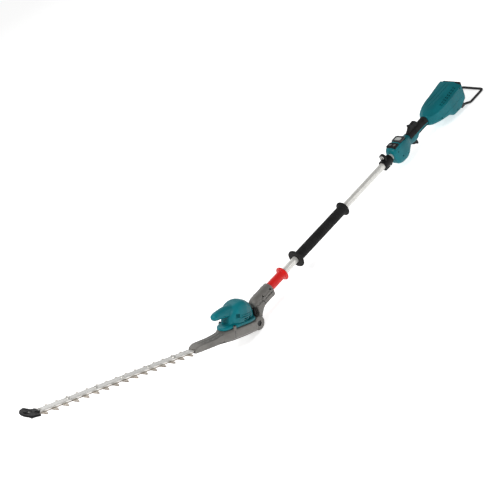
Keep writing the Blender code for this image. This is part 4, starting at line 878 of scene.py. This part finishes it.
def make_collar():
    """The red stop collar: a sleeve with a rounded flange."""
    rim = [(22 + 3 * sin(radians(a)), 183 + 3 * cos(radians(a))) for a in range(0, 181, 20)]
    profile = [(12.3, 186), *rim, (18.5, 179.6), (16.4, 178.6), (15.6, 176.5), (15.6, 104.5), (12.3, 104.5)]
    sleeve = turned(profile, turn=(0, pi / 2, 0))
    return piece("stop_collar", sleeve, TOOL, "pole", RED, ["red_collar"], 0.4)


def make_front_grip():
    """The soft front grip: a hand stop in front, shallow rings along it and a smaller stop behind."""
    front = GRIP_START
    back = GRIP_END
    rings = []
    count = 29
    start = front + 13
    pitch = (back - 13 - start) / count
    for k in range(count):
        x = start + k * pitch
        rings += [(17.5, x), (17.5, x + pitch * 0.62), (16.9, x + pitch * 0.7), (16.9, x + pitch * 0.92)]
    stop = [(12.25, front - 4), (27, front - 4), (30, front - 3.4), (31.4, front - 2), (32, front),
            (31.4, front + 2), (30, front + 3.4), (26, front + 4.8), (20.5, front + 6.2),
            (18.4, front + 8.6)]
    tail = [(17.5, back - 13), (17.9, back - 9), (19.4, back - 6), (23.6, back - 4), (25.6, back - 3),
            (26.5, back - 1), (26.5, back + 0.6), (25.4, back + 2.4), (23.6, back + 3), (12.25, back + 3)]
    profile = list(reversed(stop + rings + tail))
    sleeve = turned(profile, turn=(0, pi / 2, 0), steps=72)
    return piece("front_grip_sleeve", sleeve, TOOL, "pole", RUBBER, ["front_grip"], 0)


def make_hanger():
    """The strap hanger: a split clamp on the pole with a lug on top and a foot for its screw beneath."""
    outer = 17
    inner = PIPE_RADIUS + GAP
    band = [(inner, HANGER_END), (outer - 1.5, HANGER_END), (outer - 0.5, HANGER_END - 0.5),
            (outer, HANGER_END - 1.5), (outer, HANGER_START + 1.5), (outer - 0.5, HANGER_START + 0.5),
            (outer - 1.5, HANGER_START), (inner, HANGER_START)]
    rings = [[(outer - 1, x + 1.6), (outer + 0.9, x + 0.9), (outer + 0.9, x - 0.9), (outer - 1, x - 1.6)]
             for x in (779, 813)]
    ribs = [turned(ring, turn=(0, pi / 2, 0)) for ring in rings]
    x, _, z = HANGER_EYE
    lug = united(rod(12.5, -4, 4, "X", HANGER_EYE, 64), block((x - 4, -11.5, z - 14), (x + 4, 11.5, z)))
    foot = block((HANGER_START + 3, -7, -21.5), (HANGER_END - 3, 7, -13))
    clamp = united(turned(band, turn=(0, pi / 2, 0)), *ribs, lug, foot)
    clamp = cut(clamp, block((760, -0.8, -60), (860, 0.8, 0)), rod(inner, 760, 860, "X"),
                rod(6, x - 20, x + 20, "X", (0, 0, z)), rod(2.3, -20, 20, "Y", HANGER_SCREW),
                rod(3.9, -30, -7, "Y", HANGER_SCREW))
    return piece("hanger_body", clamp, TOOL, "pole", BLACK, ["hanger_clamp"], 0.6)


# ---------------------------------------------------------------- grip and battery housing


def above(point, normal, size=300):
    """Everything on the outer side of a plane."""
    mesh = block((-size, -size, 0), (size, size, size))
    mesh.transform(Matrix.Translation(point) @ Vector(normal).to_track_quat("Z", "X").to_matrix().to_4x4())
    return mesh


def half_of(body, side):
    """One side of a body, up to the parting plane."""
    if side < 0:
        return carved(body, ("INTERSECT", block((600, -90, -120), (1400, -PARTING_GAP, 120))))
    return carved(body, ("INTERSECT", block((600, PARTING_GAP, -120), (1400, 90, 120))))


def inner_room(stations, step, ends):
    """The hollow inside a moulded body, one wall thickness in from its skin."""
    inset = [(x, low + WALL, high - WALL, half - WALL, power) for x, low, high, half, power in stations]
    return loft(inset, 48, step, ends=ends)


def make_grip_shells():
    """The left and right mouldings of the control pod, trigger bulge and handle."""
    room = inner_room(POD[1:], 6, (-2, 6))
    openings = [room, rod(PIPE_RADIUS + 0.2, 700, 840, "X"), block((871.6, -20.9, 24), (907.4, 20.9, 60)),
                block((838.5, -20.5, 24), (866.5, 20.5, 60)), block((934, -7, 6), (1010, 7, 60)),
                block((933, -6.5, -60), (980, 6.5, -8))]
    screws = [rod(2.6, *across(side, 15, 40), "Y", (x, 0, z)) for side in (1, -1)
              for x, z in ((861.7, -16.4), (893, -27), (846, 12))]
    waist = [tube([(x, side * (skin_y(POD, x, 22) + 0.25), 22) for x in range(842, 906, 4)], 0.8, 8, 2)
             for side in (1, -1)]
    whole = cut(loft(POD, 88, 3), *openings, joined(*screws), joined(*waist))
    for side, name in ((-1, "left"), (1, "right")):
        shell = half_of(whole.copy(), side)
        piece(f"grip_{name}_moulding", shell, TOOL, "pole", TEAL, [f"grip_shell_{name}"], 0.45)


def make_handle_covers():
    """The soft covering over the handle, open for the lock-off lever, and the strip beneath it."""
    sleeve = POD[7:]
    for name, low, high, start in (("handle_cover", 0.5, FAR, 935), ("handle_under_pad", -FAR, -10.5, 993)):
        skin = loft(sleeve, 80, 3, 2.2)
        skin = carved(skin, ("INTERSECT", block((start, -FAR, low), (1043.5, FAR, high))))
        skin = cut(skin, loft(sleeve, 80, 3, GAP, (4, 4)))
        if high > 0:
            skin = cut(skin, block((900, -7, 0), (1010, 7, 60)))
        piece(f"{name}_soft", skin, TOOL, "pole", RUBBER, [name], 0.6)


def make_panel():
    """The display and key pad on the pod's top, each a softly crowned plate."""
    frame_plate = prism(rounded_box(17.6, 20.6, 8, (DISPLAY_X, 0)), 29, 34, chamfer=0.9)
    seat = prism(rounded_box(8.3, 12.9, 4, (DISPLAY_X, 0)), 33, 36)
    piece("display_frame", cut(frame_plate, seat), TOOL, "pole", GLOSS, ["display_panel"], 0.2)
    window = prism(rounded_box(8, 12.6, 3.7, (DISPLAY_X, 0)), 33.3, 34.4, chamfer=0.25)
    piece("display_window", window, TOOL, "pole", LENS, ["display_lens"], 0)
    pad = prism(rounded_box(13.7, 20.2, 5, (KEY_PAD_X, 0)), 28, 33.4, chamfer=0.8)
    wells = [rod(radius + GAP, 29.5, 40, at=(KEY_PAD_X, y, 0)) for _name, _body, y, radius in KEYS]
    piece("key_plate", cut(pad, joined(*wells)), TOOL, "pole", BLACK, ["key_pad"], 0.2)
    for name, body, y, radius in KEYS:
        profile = [(0, 34.3), (radius * 0.55, 34.35), (radius - 1, 34.6), (radius - 0.4, 34.45),
                   (radius, 33.9), (radius, 31.2), (0, 31.2)]
        piece(f"{name}_cap", turned(profile, (KEY_PAD_X, y, 0), steps=40), TOOL, body, KEY, [name], 0)


def make_rear_shells():
    """The two halves of the battery housing, with grooves along its top and rows of vents."""
    room = inner_room(REAR, 8, (-6, -3))
    window = block((1220, -22.3, -20.3), (1260, 22.3, 20.3))
    vents = [prism(rounded_box(4.3, 1.7, 1.6, (1119 + number * 13, -y), 4), 18, 64)
             for number in range(8) for y in (28, 34.5)]
    grooves = []
    count = 26
    runs = ((-5.7, -28, 1114, 1226), (10, -4, 1090, 1226), (26, 11, 1100, 1226))
    for start_y, end_y, start_x, end_x in runs:
        path = []
        for k in range(count + 1):
            x = start_x + (end_x - start_x) * k / count
            y = start_y + (end_y - start_y) * k / count
            path.append((x, y, skin_z(REAR, x, y) + 0.1))
        grooves.append(tube(path, 1.5, 10, 3))
    belts = []
    for side in (1, -1):
        beside = [(x, side * (skin_y(REAR, x, -14) + 0.2), -14 + (x - 1070) * 0.02)
                  for x in range(1070, 1232, 6)]
        belts.append(tube(beside, 0.9, 10, 3))
    screws = [rod(2.8, *across(side, 30, FAR), "Y", (x, 0, z)) for side in (1, -1)
              for x, z in ((1092, -18), (1178, -38), (1222, 24))]
    facets = (((1118, -5.7, 29.8), (-0.13, -0.23, 0.97)), ((1110, -5.7, 29.0), (-0.12, -0.36, 1)),
              ((1118, 16, 30.5), (-0.09, 0.1, 0.99)))
    roofs = [above(point, normal) for point, normal in facets]
    drop = Vector((0, 0, WALL + 0.4))
    room = cut(room, *[above(Vector(point) - drop, normal) for point, normal in facets])
    whole = cut(loft(REAR, 96, 4), room, window, *roofs, joined(*vents), joined(*grooves), joined(*belts),
                joined(*screws))
    for side, name in ((-1, "left"), (1, "right")):
        shell = half_of(whole.copy(), side)
        piece(f"rear_{name}_moulding", shell, TOOL, "pole", TEAL, [f"rear_shell_{name}"], 0.6)


def smooth_path(points, per_span=6):
    """A smooth curve through the points."""
    spots = [Vector(point) for point in points]
    path = []
    for k in range(len(spots) - 1):
        before = spots[max(k - 1, 0)]
        start, end = spots[k], spots[k + 1]
        after = spots[min(k + 2, len(spots) - 1)]
        for step in range(per_span):
            t = step / per_span
            square = 2 * before - 5 * start + 4 * end - after
            cube = 3 * start - before - 3 * end + after
            path.append(0.5 * ((2 * start) + (end - before) * t + square * t ** 2 + cube * t ** 3))
    return path + [spots[-1]]


def make_rear_hook():
    """The coated rod behind the battery space: a flat U whose two feet bolt under the housing."""
    right = [(1208, 41, -44), (1220, 42, -46), (1236, 44.5, -51), (1250, 46, -57), (1262, 46.4, -59),
             (1294, 46.4, -59), (1327, 46.3, -59), (1334.5, 44.2, -59), (1338.4, 39.5, -59),
             (1338.4, 20, -59)]
    path = smooth_path(right + [(x, -y, z) for x, y, z in reversed(right)])
    feet = [prism(rounded_box(8.5, 5.75, 2, (HOOK_FOOT_X, side * HOOK_FOOT_Y)), -51, -34, chamfer=1)
            for side in (1, -1)]
    head = [(0, -51.8), (3.4, -51.8), (3.8, -51.4), (3.8, -50), (0, -50)]
    bolts = [turned(head, (HOOK_FOOT_X, side * HOOK_FOOT_Y, 0), steps=24) for side in (1, -1)]
    hook = cut(united(tube(path, HOOK_ROD, 20), *feet, *bolts), loft(REAR, 80, 4, GAP))
    return piece("stand_rod", hook, TOOL, "pole", COATED, ["rear_hook"], 0.3)


# ---------------------------------------------------------------- CAD nodes that stay

KEPT = (
    (CAST, 0.4, ("case_cover",)),
    (DARK, 0.2, ("bar_screw_1", "bar_screw_2", "rotor")),
    (DARK, 0.25, ("clamp_screw_1", "clamp_screw_2", "clamp_screw_3", "clamp_screw_4")),
    (DARK, 0.3, ("case_screw_1", "case_screw_2")),
    # The pivot bolt and nut take the near-black steel, which also paints the shade of the hex recess they
    # sit in.
    (DARK, 0.4, ("pivot_bolt", "pivot_nut")),
    (BRIGHT, 0.1, ("pinion",)),
    (BRIGHT, 0.15, ("crank_gear",)),
    (BRIGHT, 0.2, ("low_bearing", "upper_conrod", "lower_conrod")),
    (BRIGHT, 0.3, ("guard_screw", "hanger_eyelet", "hanger_screw")),
    (BLACK, 0.2, ("fan",)),
    (BLACK, 0.3, ("angle_lever", "trigger", "lock_off_lever", "switch_body", "terminal_block")),
    (BLACK, 0.4, ("battery_rails",)),
    (COPPER, 0.4, ("stator",)),
    (PIPE, 0.2, ("main_pipe",)),
    (RUBBER, 0, ("power_lead",)),
    (BOARD, 0.2, ("controller_board",)),
)


def finish_kept_nodes():
    """The finish and the rounded edges of each CAD node that stays visible."""
    for (material, _slot), edge, names in KEPT:
        for name in names:
            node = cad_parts[name]
            for material_slot in node.material_slots:
                material_slot.material = material
            if edge:
                soften(node, edge)


# ---------------------------------------------------------------- studio

FLOOR_HALF = 30
FLOOR_Z = -0.0005
FLOOR_GLOW = 0.6
WORLD_STRENGTH = 0.3
LENS_LENGTH = 102.2
CAMERA_PLACE = (-2144.5, -3100.2, 2564.8)
CAMERA_RIGHT = (0.602, -0.714, -0.358)
CAMERA_UP = (0.624, 0.142, 0.768)


def floor_finish():
    """White, faintly uneven, with a glow that keeps the shadows soft."""
    made = Finish("studio_floor", (0.93, 0.93, 0.93), 0.75)
    tone = made.noise(0.8, 2)
    made.colour(made.mix(tone, (0.92, 0.92, 0.92), (0.95, 0.95, 0.95)))
    made.fixed("Specular IOR Level", 0.1)
    made.fixed("Emission Color", (1, 1, 1, 1))
    made.fixed("Emission Strength", FLOOR_GLOW)
    return made.material


def make_floor():
    """A broad flat floor just under the tool."""
    floor = bpy.data.meshes.new("studio_floor")
    corners = [(x * FLOOR_HALF, y * FLOOR_HALF, FLOOR_Z) for x, y in ((-1, -1), (1, -1), (1, 1), (-1, 1))]
    floor.from_pydata(corners, [], [(0, 1, 2, 3)])
    floor.materials.append(floor_finish())
    add_object("studio_floor", floor)


def area_light(name, place, size, power, target=(0, 0, 0.1)):
    """A rectangular soft light turned toward the tool."""
    light = bpy.data.lights.new(name, "AREA")
    light.shape = "RECTANGLE"
    light.size, light.size_y = size
    light.energy = power
    obj = add_object(name, light)
    obj.location = place
    obj.rotation_euler = (Vector(target) - Vector(place)).to_track_quat("-Z", "Y").to_euler()


def make_lights():
    """An even white surround, a key light above the blades, a fill on the near side and a rim light."""
    world = bpy.data.worlds.new("studio")
    bpy.context.scene.world = world
    world.use_nodes = True
    background = world.node_tree.nodes["Background"]
    background.inputs["Color"].default_value = (1, 1, 1, 1)
    background.inputs["Strength"].default_value = WORLD_STRENGTH
    area_light("key_light", (-1.9, -0.2, 2.6), (1.6, 0.8), 60)
    area_light("fill_light", (2.2, -3.0, 1.5), (1.6, 1.2), 16)
    area_light("rim_light", (0.6, 2.4, 1.6), (2.6, 0.5), 20)


def make_camera():
    """A long lens from the left front, above the pole, with its axes given in the pole's frame."""
    right = Vector(CAMERA_RIGHT)
    up = Vector(CAMERA_UP)
    back = right.cross(up).normalized()
    up = back.cross(right).normalized()
    right = up.cross(back)
    turn = Matrix((right, up, back)).transposed()
    camera = bpy.data.cameras.new("camera")
    camera.lens = LENS_LENGTH
    camera.sensor_width = 36
    camera.clip_end = 100
    obj = add_object("camera", camera)
    place = TOOL @ Vector(CAMERA_PLACE)
    obj.matrix_world = Matrix.Translation(place) @ (TOOL.to_3x3().normalized() @ turn).to_4x4()
    bpy.context.scene.camera = obj


make_motor_housing()
make_gear_case()
make_blades()
make_guide_bar()
make_blade_bolts()
make_tip_guard()
make_elbow()
make_elbow_cap()
make_collar()
make_front_grip()
make_hanger()
make_grip_shells()
make_handle_covers()
make_panel()
make_rear_shells()
make_rear_hook()
finish_kept_nodes()
make_floor()
make_lights()
make_camera()
bpy.context.scene.view_settings.view_transform = "Standard"
